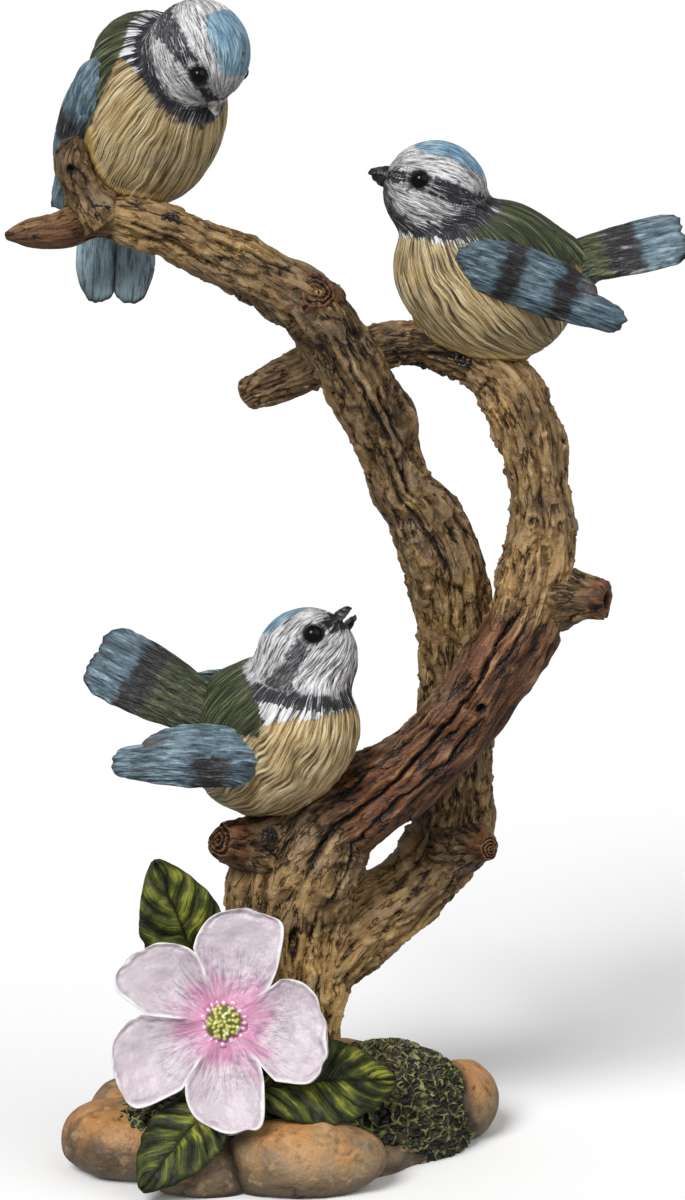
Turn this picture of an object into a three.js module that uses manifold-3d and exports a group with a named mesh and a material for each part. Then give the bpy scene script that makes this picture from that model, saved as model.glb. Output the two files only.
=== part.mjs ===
// A cast resin figurine, 300 mm tall: three small songbirds perched on two entwined branches that grow
// from an oval base of pebbles and moss, with a five-petalled flower and three leaves at its foot.
// The branches and the base are one casting. Each bird, the flower and each leaf is a casting of its own,
// glued on. Millimetres, +Z up, origin at the middle of the base's flat underside, front towards -Y.
import * as THREE from "three";
import { mergeVertices } from "three/addons/utils/BufferGeometryUtils.js";
import Module from "manifold-3d";

const wasm = await Module();
wasm.setup();

// Driving dimensions.
const glueGap = 0.3; // between two castings that touch
const stemShape = { sides: 12, step: 10, ridge: 0.05 }; // step: between two rings of vertices
const twigShape = { sides: 8, step: 10, ridge: 0.03 };
const fullness = 1.03; // makes up for the flat facets of a round section
const base = { halfLength: 46, halfDepth: 34, turn: 22, rimHeight: 6, crownHeight: 16, below: 6 };

// Sizes shared by the three birds: radii of each mass of the body as [ahead, aside, up], and how softly
// they run into each other. Beak and eye are placed from the head's centre, the eye by each bird's own
// measures: how far ahead, aside and up.
const birdSizes = {
  belly: [17.5, 16.5, 17.2], breast: [14.5, 14.8, 15], nape: [14, 13, 12.5],
  rump: [12, 9.5, 8.5], vent: [11.5, 10.5, 10.5], head: [13, 12, 12.8],
  bodyBlend: 8, neckBlend: 4, middle: 0.42, // middle: where the ball starts, from belly to head
  eyeRadius: 2.4,
  beak: { length: 7, radius: 3.1, tipRadius: 1, ahead: 13.4, up: -0.6 },
  tailThickness: 2.9,
};

// Stations of a stem: [x, y, z, radius]. The curve runs smoothly through them.
const frontStem = [
  [0.2, -1, 6, 18], [0, -1, 27, 14.2], [0.5, -1, 50, 14.8], [3.2, -2, 71, 16], [8, -3, 81.5, 15.4],
  [15, -5, 90.5, 12.8], [25, -8, 97, 11.2], [34, -10, 104.6, 10.4], [42.3, -11, 113.4, 9.8],
  [50.8, -11, 124.3, 9.6], [57.4, -9, 134.2, 9.7], [61.9, -7, 143.6, 9.7], [64.2, -5, 152.7, 9.5],
  [65.4, -3, 161.3, 8.9], [65.4, -2, 168.8, 7.9], [64.2, 0, 180, 7.8], [61, 2, 191.5, 8.3],
  [57.3, 4, 198.5, 8.3], [50, 6, 205.5, 7.3], [41.5, 7, 209, 6.3], [32.9, 8, 210, 6],
  [20, 9, 207.8, 5.8], [7.8, 10, 203.5, 5.7], [-4.4, 12, 197.7, 5.1], [-9.6, 13, 194.9, 4.4],
];
const rearStem = [
  [4, 3, 10, 12], [5, 3, 38, 8], [15, 4, 53, 10.5], [24, 7, 60.4, 10.4], [32.8, 9, 66.6, 10],
  [39.3, 11, 73, 10.1], [43.7, 12, 80.5, 10.4], [45.3, 12, 97.8, 9.6], [44.7, 10, 116.8, 9.2],
  [43.6, 8, 138.3, 9.4], [42.2, 7, 147.6, 10.1], [40.1, 6, 157.4, 10.5], [35.3, 5, 166.4, 9.2],
  [30, 4, 174, 7.6], [27.4, 3, 182, 7.4], [25.3, 1, 189.3, 8.3], [21.3, -1, 198, 8.6],
  [17, -3, 206.8, 8.4], [11.2, -5, 216.4, 8.2], [5, -6, 222.8, 8.3], [-3.7, -6, 228.2, 7.5],
  [-15.7, -6, 234.2, 7], [-27.3, -6, 239.8, 6.9], [-33.4, -6, 241.4, 6.5], [-40.9, -5, 243.3, 6],
  [-47.1, -5, 243, 5.2], [-54.5, -7, 241.2, 5], [-61.3, -9, 240.7, 4.3], [-67.6, -11, 239.7, 3],
];
const twigs = {
  upperLeft: [[-43.6, -5, 242, 5.6], [-48.2, -5, 250, 5.2], [-51.4, -6.3, 258, 4.6], [-50.2, -6.5, 263.4, 3.2]],
  rightStub: [[65, -6, 146, 7], [73, -8.5, 147.3, 6], [82, -12.5, 147.6, 5.1]],
  leftKnot: [[0, -4, 81, 10], [-8, -9, 83.5, 7], [-15, -15.5, 86, 5.5]],
  rightKnot: [[44, 8, 79, 8], [50, 2, 80, 4.6], [53, -2.5, 80.5, 4]],
  upperKnot: [[8, -6, 221, 8], [8.9, -10, 224, 5.6], [9.5, -13, 225.6, 4.4]],
};

// Pebbles round the rim: centre, radii and turn about the vertical.
const pebbles = [
  { at: [-38.5, -19, 8.5], size: [18.5, 14.5, 10.5], turn: -20 },
  { at: [6, -32.5, 7.5], size: [20.5, 12.5, 10.5], turn: 4 },
  { at: [44, 12, 8.5], size: [12, 15, 10.5], turn: -12 },
  { at: [-18, -32, 4.5], size: [14, 10.5, 8], turn: 12 },
  { at: [-38, 10, 6], size: [12, 14, 8], turn: 15 },
  { at: [-20, 27, 8], size: [17, 12.5, 9.5], turn: -20 },
  { at: [15, 32, 8.5], size: [18, 11, 10], turn: 10 },
];
const mossMounds = [
  { at: [24, 0, 7], size: [27, 19.5, 21], turn: 25 },
  { at: [-1, -12, 6], size: [27, 18.5, 20], turn: 0 },
  { at: [-27, -14, 9], size: [14, 12, 10], turn: 0 },
  { at: [-8, 12, 8], size: [26, 18, 15], turn: 20 },
];

// The birds. belly and head are centres; ahead, back, look and crown are directions. breast, nape and vent
// place the masses of the breast, of the upper back and of the underside by the tail: how far ahead of the
// belly's centre, and how far over it.
const birds = [
  {
    name: "bird_right", breast: [10, 6.5], nape: [-3, 9], vent: [-8, -5.5], eye: [4.2, 9.8, 0.6],
    belly: [52.7, 6, 224.1], ahead: [-0.95, -0.26, -0.05], back: [0, -0.1, 1],
    head: [38.8, 3, 248.8], look: [-0.945, 0.07, 0.318], crown: [0.325, 0.2, 0.92],
    tail: { root: [72, 8, 230], tip: [101.2, 10, 236.6], face: [-0.12, -0.62, 0.77], width: 17 },
    wings: [
      { shoulder: [46, -9.5, 233.5], tip: [86.4, -9, 219], face: [0.1, -0.97, 0.25], width: 7.2 },
      { shoulder: [54, 20, 234], tip: [82, 25, 226], face: [0.3, 0.92, 0.3], width: 6.5 },
    ],
  },
  {
    name: "bird_lower_left", breast: [10.5, 8.5], nape: [-3, 9], vent: [-9, -9], eye: [4.8, 9.8, 2.8],
    belly: [-3.2, -9, 110], ahead: [0.55, -0.8, -0.22], back: [0.25, 0.05, 0.95],
    head: [6.6, -12, 132.6], look: [0.66, 0.24, 0.71], crown: [-0.75, 0.14, 0.64],
    tail: { root: [-21, -2, 117.5], tip: [-47, 5, 130], face: [0.1, -0.85, 0.5], width: 19.5 },
    wings: [
      { shoulder: [-7, -25.5, 109.5], tip: [-42, -26, 111], face: [-0.1, -0.85, 0.5], width: 8 },
      { shoulder: [-4, 8, 119], tip: [-34, 14, 117], face: [-0.2, 0.9, 0.4], width: 6.5 },
    ],
  },
  {
    name: "bird_top_left", breast: [10, 6.5], nape: [4, 17], vent: [-8, -6], eye: [6.9, 9.2, 3.8],
    belly: [-32.9, 4, 264], ahead: [0.6, -0.75, 0.2], back: [-0.5, 0.55, 0.65],
    head: [-19.6, -12, 285.2], look: [0.3, -0.227, -0.923], crown: [0.797, -0.472, 0.376],
    tail: { root: [-41, 17, 250], tip: [-42.1, 10, 220.8], face: [0, -1, -0.15], width: 19.5 },
    wings: [
      { shoulder: [-43.5, -3, 280], tip: [-57.5, 9, 245], face: [-0.72, -0.68, 0.12], width: 7 },
      { shoulder: [-31, 18, 279], tip: [-32, 28, 245], face: [0.7, 0.7, 0.1], width: 6.5 },
    ],
  },
];

// Layers of a folded wing, the lowest first: from and to are shares of its length, drop is how far a layer
// hangs below the wing's own line and lift how far it stands out, share is its part of the width.
const flightLayers = [
  { from: 0, to: 1, drop: 2.2, lift: -0.6, share: 0.7, halfThickness: 1.8 },
  { from: 0, to: 0.8, drop: -2.4, lift: 0.2, share: 0.86, halfThickness: 2 },
];
const coverts = { from: -0.06, to: 0.44, drop: -0.4, lift: 0.6, share: 0.95, halfThickness: 2.5 };

const flower = {
  centre: [-14.3, -28, 42], face: [-0.05, -0.93, 0.36], thickness: 2.4,
  button: { radius: 6.6, height: 3.6 }, // the stamens
  receptacle: 12, // how far the flower's foot reaches back to the trunk
};
const petals = [
  { angle: 80, length: 29, width: 22 },
  { angle: -7, length: 26.5, width: 26 },
  { angle: -87, length: 28, width: 20 },
  { angle: -153, length: 31, width: 22 },
  { angle: 145, length: 28.5, width: 20 },
];

const leafThickness = 2.6;
const leaves = [
  {
    name: "leaf_behind_flower", root: [-19, -11.5, 46], tip: [-31.8, -15.5, 81],
    face: [0.1, -0.97, 0.15], width: 22,
  },
  { name: "leaf_front", root: [-15.5, -32, 23], tip: [-34.5, -46.5, 3.8], face: [-0.25, -0.8, 0.55], width: 20 },
  { name: "leaf_right", root: [-5, -30, 25.2], tip: [29, -22.5, 24.8], face: [0.05, -0.75, 0.66], width: 24 },
];

const colours = {
  wood: 0x6e5840, belly: 0xb09a6c, petal: 0xe9d6dd, leaf: 0x46521f,
};

const vec = (a) => new THREE.Vector3(...a);
const unit = (a) => vec(a).normalize();

// A closed three.js geometry as a solid: shared corners merged, faces that shrank to nothing dropped.
function solidOf(geometry) {
  const bare = new THREE.BufferGeometry();
  bare.setAttribute("position", geometry.getAttribute("position"));
  bare.setIndex(geometry.index);
  const merged = mergeVertices(bare, 1e-4);
  const index = merged.index.array;
  const kept = [];
  for (let i = 0; i < index.length; i += 3) {
    const [a, b, c] = [index[i], index[i + 1], index[i + 2]];
    if (a !== b && b !== c && c !== a) kept.push(a, b, c);
  }
  return new wasm.Manifold(new wasm.Mesh({
    numProp: 3,
    vertProperties: merged.getAttribute("position").array,
    triVerts: new Uint32Array(kept),
  }));
}

function geometryOf(solid) {
  const mesh = solid.getMesh();
  const geometry = new THREE.BufferGeometry();
  geometry.setAttribute("position", new THREE.BufferAttribute(mesh.vertProperties, 3));
  geometry.setIndex(new THREE.BufferAttribute(mesh.triVerts, 1));
  geometry.computeVertexNormals();
  return geometry;
}

const joined = (solids) => solids.reduce((whole, solid) => whole.add(solid));

// A casting is one solid body: its largest shell, without sealed hollows or crumbs left by a cut.
const oneBody = (solid) => solid.decompose()
  .reduce((most, shell) => (shell.volume() > most.volume() ? shell : most));

// Moves every vertex of a three.js geometry to place(x, y, z).
function reshape(geometry, place) {
  const position = geometry.getAttribute("position");
  for (let i = 0; i < position.count; i += 1) {
    const p = place(position.getX(i), position.getY(i), position.getZ(i));
    position.setXYZ(i, p.x, p.y, p.z);
  }
  return geometry;
}

// Curve points with a side vector carried along without twist.
function framesAlong(points) {
  const frames = [];
  let side = new THREE.Vector3(0, -1, 0);
  points.forEach((point, i) => {
    const before = points[Math.max(i - 1, 0)];
    const after = points[Math.min(i + 1, points.length - 1)];
    const along = after.clone().sub(before).normalize();
    side = side.clone().addScaledVector(along, -side.dot(along)).normalize();
    frames.push({ point, along, side, across: side.clone().cross(along) });
  });
  return frames;
}

// A stem: a round section carried along the stations, fluted by long ridges of bark.
function stem(stations, { sides, step, ridge }, extra = 0) {
  const spine = new THREE.CatmullRomCurve3(stations.map((s) => vec(s)), false, "centripetal");
  const girth = new THREE.SplineCurve(stations.map((s, i) => new THREE.Vector2(i, s[3])));
  const steps = Math.max(3, Math.round(spine.getLength() / step));
  const shares = Array.from({ length: steps + 1 }, (_, i) => i / steps);
  const frames = framesAlong(shares.map((t) => spine.getPoint(t)));
  const radii = shares.map((t) => girth.getPoint(t).y + extra);
  const tube = new THREE.CylinderGeometry(1, 1, 1, sides, steps);
  return solidOf(reshape(tube, (x, y, z) => {
    const row = Math.round((y + 0.5) * steps);
    const angle = Math.atan2(z, x);
    const bark = 1 + ridge * (Math.sin(3 * angle + 0.35 * row) + 0.6 * Math.sin(5 * angle - 0.8 * row));
    const reach = Math.hypot(x, z) * radii[row] * bark * fullness;
    const { point, side, across } = frames[row];
    return point.clone()
      .addScaledVector(side, reach * Math.cos(angle))
      .addScaledVector(across, reach * Math.sin(angle));
  }));
}

function branchwork(extra = 0) {
  return joined([
    stem(frontStem, stemShape, extra),
    stem(rearStem, stemShape, extra),
    ...Object.values(twigs).map((stations) => stem(stations, twigShape, extra)),
  ]);
}

// An ellipsoid with its own turn about the vertical, roughened by lump.
function mound({ at, size, turn }, extra = 0, lump = 0, detail = [12, 6]) {
  const centre = vec(at);
  const turned = new THREE.Quaternion().setFromAxisAngle(
    new THREE.Vector3(0, 0, 1), THREE.MathUtils.degToRad(turn),
  );
  const ball = new THREE.SphereGeometry(1, ...detail);
  return solidOf(reshape(ball, (x, y, z) => {
    const wave = fullness + lump * Math.sin(5 * x + 3 * z) * Math.sin(6 * y + 2 * x);
    return new THREE.Vector3(
      x * wave * (size[0] + extra), z * wave * (size[1] + extra), -y * wave * (size[2] + extra),
    ).applyQuaternion(turned).add(centre);
  }));
}

// The low dome under the pebbles: a lathed profile drawn out to an oval, its right end turned back.
function baseCore(extra = 0) {
  const { halfLength, halfDepth, turn, rimHeight, crownHeight, below } = base;
  const upright = new THREE.Vector3(0, 0, 1);
  const profile = [
    new THREE.Vector2(0, -below), new THREE.Vector2(0.93, -below), new THREE.Vector2(0.98, rimHeight * 0.4),
    new THREE.Vector2(0.9, rimHeight), new THREE.Vector2(0.6, crownHeight * 0.8),
    new THREE.Vector2(0.3, crownHeight), new THREE.Vector2(0, crownHeight),
  ];
  const dome = new THREE.LatheGeometry(profile, 24);
  return solidOf(reshape(dome, (x, y, z) => new THREE.Vector3(
    x * (halfLength + extra), -z * (halfDepth + extra), y + extra,
  ).applyAxisAngle(upright, THREE.MathUtils.degToRad(turn))));
}

// Everything below the underside, to be cut away.
function belowGround() {
  const depth = 60;
  const width = 400;
  return solidOf(new THREE.BoxGeometry(width, width, depth).translate(0, 0, -depth / 2));
}

function stoneBase(extra = 0) {
  return joined([
    baseCore(extra),
    ...pebbles.map((p) => mound(p, extra)),
    ...mossMounds.map((p) => mound(p, extra, 0.05, [14, 7])),
  ]);
}

// Signed distance, roughly, from an ellipsoid { at, size, axes }.
function distanceTo({ at, size, axes }, p) {
  const d = p.clone().sub(at);
  const q = axes.map((axis, i) => d.dot(axis) / size[i]);
  const far = Math.hypot(...q);
  const steep = Math.hypot(...q.map((v, i) => v / size[i]));
  return steep > 0 ? (far * (far - 1)) / steep : -Math.min(...size);
}

function softMin(a, b, soft) {
  const h = Math.max(soft - Math.abs(a - b), 0) / soft;
  return Math.min(a, b) - h * h * soft * 0.25;
}

// Ahead, left and up of a body or head, from a heading and a rough upward direction.
function axesOf(ahead, up) {
  const x = unit(ahead);
  const left = vec(up).cross(x).normalize();
  return [x, left, x.clone().cross(left)];
}

// The masses that a bird's body is modelled from.
function birdMasses(bird) {
  const body = axesOf(bird.ahead, bird.back);
  const skull = axesOf(bird.look, bird.crown);
  const from = (ahead, up) => vec(bird.belly)
    .addScaledVector(body[0], ahead).addScaledVector(body[2], up);
  const { bodyBlend, neckBlend } = birdSizes;
  return [
    { at: from(0, -0.8), size: birdSizes.belly, axes: body, soft: bodyBlend },
    { at: from(...bird.breast), size: birdSizes.breast, axes: body, soft: bodyBlend },
    { at: from(...bird.nape), size: birdSizes.nape, axes: body, soft: bodyBlend },
    { at: from(-15, 4), size: birdSizes.rump, axes: body, soft: bodyBlend },
    { at: from(...bird.vent), size: birdSizes.vent, axes: body, soft: bodyBlend },
    { at: vec(bird.head), size: birdSizes.head, axes: skull, soft: neckBlend },
  ];
}

// A ball whose every vertex is pushed out from the breast until it meets the blended masses.
function birdBody(bird) {
  const masses = birdMasses(bird);
  const middle = vec(bird.belly).lerp(vec(bird.head), birdSizes.middle);
  const pole = vec(bird.head).sub(middle).normalize();
  const turned = new THREE.Quaternion().setFromUnitVectors(new THREE.Vector3(0, 1, 0), pole);
  const field = (p) => masses.reduce((near, mass) => softMin(near, distanceTo(mass, p), mass.soft), Infinity);
  const ball = new THREE.SphereGeometry(1, 18, 11);
  return solidOf(reshape(ball, (x, y, z) => {
    const ray = new THREE.Vector3(x, y, z).applyQuaternion(turned);
    let inside = 2;
    let outside = 50;
    for (let i = 0; i < 24; i += 1) {
      const reach = (inside + outside) / 2;
      if (field(middle.clone().addScaledVector(ray, reach)) < 0) inside = reach;
      else outside = reach;
    }
    return middle.clone().addScaledVector(ray, inside);
  }));
}

// A flat, rounded blade such as a wing, tail, petal or leaf. halfWidth, thickness, rise and reach
// are functions of the share of the length and of the share across, from -1 to 1.
function blade({ root, tip, face, halfWidth, thickness, rise = () => 0, reach = () => 0, detail = [14, 9] }) {
  const start = vec(root);
  const along = vec(tip).sub(start);
  const length = along.length();
  along.normalize();
  const side = unit(face).cross(along).normalize();
  const out = along.clone().cross(side);
  const [sides, steps] = detail;
  const tube = new THREE.CylinderGeometry(1, 1, 1, sides, steps);
  return solidOf(reshape(tube, (x, y, z) => {
    const t = y + 0.5;
    return start.clone()
      .addScaledVector(along, length * t + reach(t, x))
      .addScaledVector(side, x * halfWidth(t))
      .addScaledVector(out, -z * thickness(t) + rise(t, x));
  }));
}

// A folded wing: the long outer flight feathers and the inner ones, and on the wing that is seen from
// the front, the short coverts over its shoulder.
function wing({ shoulder, tip, face, width }, withCoverts) {
  const start = vec(shoulder);
  const whole = vec(tip).sub(start);
  const out = unit(face);
  const down = out.clone().cross(whole).normalize();
  if (down.z > 0) down.negate();
  const layer = ({ from, to, drop, lift, share, halfThickness }) => blade({
    root: start.clone().addScaledVector(whole, from).addScaledVector(down, drop).addScaledVector(out, lift),
    tip: start.clone().addScaledVector(whole, to).addScaledVector(down, drop * 0.6),
    face,
    halfWidth: (t) => width * share * (0.35 + 0.65 * Math.sin(Math.PI * Math.min(0.16 + 0.72 * t, 1))),
    thickness: (t) => halfThickness * (1 - 0.5 * t),
    rise: (t, x) => 2.2 * Math.sin(Math.PI * t) - 1.6 * x * x,
    reach: (t, x) => -3 * x * x * t * t,
    detail: [8, 4],
  });
  return joined((withCoverts ? [...flightLayers, coverts] : flightLayers).map(layer));
}

// A tail: a fan of feathers with a shallow fork at its end.
function tail({ root, tip, face, width }) {
  const start = vec(root);
  const inside = start.clone().addScaledVector(vec(tip).sub(start), -0.35);
  return blade({
    root: inside, tip, face,
    halfWidth: (t) => (width / 2) * (0.45 + 0.55 * Math.sin(Math.PI * Math.min(0.62 * t, 0.5))),
    thickness: (t) => birdSizes.tailThickness * (1 - 0.5 * t),
    rise: (t, x) => 1.2 * (1 - x * x) * t,
    reach: (t, x) => (t > 0.99 ? 2.4 * Math.sin(Math.PI * Math.abs(x)) - 1.4 - 2.6 * x ** 4 : 0),
    detail: [12, 4],
  });
}

function beak(bird) {
  const { length, radius, tipRadius, ahead, up } = birdSizes.beak;
  const [look, left, crown] = axesOf(bird.look, bird.crown);
  const cone = new THREE.CylinderGeometry(tipRadius, radius, length, 6, 1);
  return solidOf(reshape(cone, (x, y, z) => vec(bird.head)
    .addScaledVector(look, ahead + y)
    .addScaledVector(left, z)
    .addScaledVector(crown, x + up)));
}

// hand is 1 for the bird's left eye and -1 for its right one.
function eye(bird, hand) {
  const radius = birdSizes.eyeRadius;
  const [ahead, aside, up] = bird.eye;
  const [look, left, crown] = axesOf(bird.look, bird.crown);
  const at = vec(bird.head)
    .addScaledVector(look, ahead).addScaledVector(left, aside * hand).addScaledVector(crown, up);
  return solidOf(new THREE.SphereGeometry(radius, 6, 4).translate(at.x, at.y, at.z));
}

function birdSolid(bird) {
  return joined([
    birdBody(bird), ...bird.wings.map((w, i) => wing(w, i === 0)), tail(bird.tail),
    beak(bird), eye(bird, 1), eye(bird, -1),
  ]);
}

// Five cupped petals round a domed button of stamens, on a foot that reaches back to the trunk.
function flowerSolid(extra = 0) {
  const centre = vec(flower.centre);
  const face = unit(flower.face);
  const right = new THREE.Vector3(0, 0, 1).cross(face).normalize();
  const up = face.clone().cross(right);
  const petal = ({ angle, length, width }) => {
    const turn = THREE.MathUtils.degToRad(angle);
    const way = right.clone().multiplyScalar(Math.cos(turn)).addScaledVector(up, Math.sin(turn));
    return blade({
      root: centre.clone().addScaledVector(way, 1),
      tip: centre.clone().addScaledVector(way, length + extra).addScaledVector(face, 3),
      face,
      halfWidth: (t) => (width / 2 + extra) * (0.2 + 0.8 * Math.sin(Math.PI * Math.min(0.08 + 0.74 * t, 1))),
      thickness: () => flower.thickness / 2 + extra,
      rise: (t, x) => 2.6 * x * x * Math.sin(Math.PI * t) - 2.4 * Math.sin(Math.PI * t),
      reach: (t, x) => -2.5 * x * x * t,
      detail: [10, 4],
    });
  };
  const { button, receptacle } = flower;
  const ball = new THREE.SphereGeometry(1, 10, 5);
  const middle = solidOf(reshape(ball, (x, y, z) => centre.clone()
    .addScaledVector(right, (button.radius + extra) * x)
    .addScaledVector(up, -(button.radius + extra) * z)
    .addScaledVector(face, ((y > 0 ? button.height : receptacle) + extra) * y)));
  return joined([...petals.map(petal), middle]);
}

// A pointed leaf, folded a little along its midrib, with its edge turned down.
function leafSolid({ root, tip, face, width }, extra = 0) {
  return blade({
    root, tip, face,
    halfWidth: (t) => (width / 2 + extra) * Math.sin(Math.PI * Math.min(0.12 + 0.86 * t, 0.985)) ** 0.75,
    thickness: () => leafThickness / 2 + extra,
    rise: (t, x) => 1.6 * Math.abs(x) - 1.2 * x * x + 2 * Math.sin(Math.PI * t),
    detail: [8, 5],
  });
}

const figurine = new THREE.Group();
const finish = (color, roughness) => new THREE.MeshStandardMaterial({ color, roughness, metalness: 0 });

// Adds a casting whose own origin is its seat on what carries it.
function addCasting(name, solid, seat, material) {
  const geometry = geometryOf(oneBody(solid));
  geometry.translate(-seat[0], -seat[1], -seat[2]);
  const mesh = new THREE.Mesh(geometry, material);
  mesh.name = name;
  mesh.position.set(...seat);
  figurine.add(mesh);
}

const ground = belowGround();
const woodAndStone = joined([branchwork(), stoneBase()]).subtract(ground);
const woodAndStoneClear = joined([branchwork(glueGap), stoneBase(glueGap)]);
addCasting("branches_and_stone_base", woodAndStone, [0, 0, 0], finish(colours.wood, 0.6));

birds.forEach((bird) => {
  const solid = birdSolid(bird).subtract(woodAndStoneClear);
  addCasting(bird.name, solid, bird.belly, finish(colours.belly, 0.6));
});

addCasting("flower", flowerSolid().subtract(woodAndStoneClear), flower.centre, finish(colours.petal, 0.45));
const flowerClear = flowerSolid(1.5 * glueGap);
leaves.forEach((leaf) => {
  const solid = leafSolid(leaf).subtract(woodAndStoneClear).subtract(flowerClear);
  addCasting(leaf.name, solid, leaf.root, finish(colours.leaf, 0.4));
});

export default figurine;
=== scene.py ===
import bpy
import numpy as np
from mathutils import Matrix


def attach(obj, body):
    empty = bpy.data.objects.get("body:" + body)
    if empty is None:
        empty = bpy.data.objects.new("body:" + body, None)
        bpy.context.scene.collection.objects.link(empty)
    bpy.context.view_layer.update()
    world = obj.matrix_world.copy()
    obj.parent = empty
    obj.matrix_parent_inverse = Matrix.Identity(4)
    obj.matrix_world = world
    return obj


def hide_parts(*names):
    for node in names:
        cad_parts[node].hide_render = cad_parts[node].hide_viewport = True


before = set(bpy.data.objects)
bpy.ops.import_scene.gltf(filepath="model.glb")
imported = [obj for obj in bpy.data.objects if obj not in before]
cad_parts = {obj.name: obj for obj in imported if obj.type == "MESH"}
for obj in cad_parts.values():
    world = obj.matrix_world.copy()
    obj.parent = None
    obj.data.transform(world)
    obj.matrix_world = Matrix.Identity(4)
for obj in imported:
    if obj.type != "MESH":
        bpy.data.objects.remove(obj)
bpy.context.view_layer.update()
scene = bpy.context.scene
millimetre = 0.001


# Camera, floor and light

camera = {
    "distance": 1250.0,  # from the point it looks at
    "above": 12.0,  # degrees, looking down
    "target": (15.6, 0.0, 145.2),
    "pixelsPerDistance": 4929.0,  # focal length in pixels of the photograph
    "photoHeight": 1200.0,
    "farthest": 100.0,  # metres, past the floor's corners
}
floor = {"size": 24000.0, "colour": (250, 250, 250), "roughness": 0.9}
lights = [
    {"name": "key", "from": (-0.42, -0.75, 0.8), "spread": 28.0, "strength": 2.75},
    {"name": "fill", "from": (0.9, -0.6, 0.75), "spread": 60.0, "strength": 0.7},
]
skyStrength = 0.37


# Linear colour from red, green and blue of 0 to 255.
def paint(red, green, blue):
    shares = np.array([red, green, blue]) / 255.0
    linear = np.where(shares > 0.04045, ((shares + 0.055) / 1.055) ** 2.4, shares / 12.92)
    return (*linear.tolist(), 1.0)


# Turns a light to face a target in millimetres.
def aimAt(thing, target):
    way = np.array(target) * millimetre - np.array(thing.location)
    across = np.hypot(way[0], way[1])
    thing.rotation_euler = (np.arctan2(across, -way[2]), 0, np.arctan2(-way[0], way[1]))


def setUpStudio():
    tilt = np.radians(camera["above"])
    x, y, z = camera["target"]
    away = camera["distance"]
    eye = bpy.data.cameras.new("camera")
    eye.lens = camera["pixelsPerDistance"] * eye.sensor_width / camera["photoHeight"]
    eye.clip_end = camera["farthest"]
    stand = bpy.data.objects.new("camera", eye)
    stand.location = np.array([x, y - away * np.cos(tilt), z + away * np.sin(tilt)]) * millimetre
    stand.rotation_euler = (np.pi / 2 - tilt, 0, 0)
    scene.collection.objects.link(stand)
    scene.camera = stand
    half = floor["size"] / 2 * millimetre
    corners = [(-half, -half, 0), (half, -half, 0), (half, half, 0), (-half, half, 0)]
    matt = {"Base Color": paint(*floor["colour"]), "Roughness": floor["roughness"]}
    ground = bpy.data.meshes.new("floor")
    ground.from_pydata(corners, [], [(0, 1, 2, 3)])
    ground.materials.append(finish("floor_paint", lambda skin: {}, matt))
    plane = bpy.data.objects.new("floor", ground)
    plane.visible_diffuse = False
    plane.visible_glossy = False
    scene.collection.objects.link(plane)
    for light in lights:
        lamp = bpy.data.lights.new(light["name"], "SUN")
        lamp.angle = np.radians(light["spread"])
        lamp.energy = light["strength"]
        holder = bpy.data.objects.new(light["name"], lamp)
        holder.location = light["from"]
        scene.collection.objects.link(holder)
        aimAt(holder, (0, 0, 0))
    sky = bpy.data.worlds.new("sky")
    sky.use_nodes = True
    sky.node_tree.nodes["Background"].inputs["Color"].default_value = (1, 1, 1, 1)
    sky.node_tree.nodes["Background"].inputs["Strength"].default_value = skyStrength
    scene.world = sky
    scene.view_settings.view_transform = "Standard"


# Shader values. A Value wraps a socket: arithmetic on it adds Math nodes.

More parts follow.
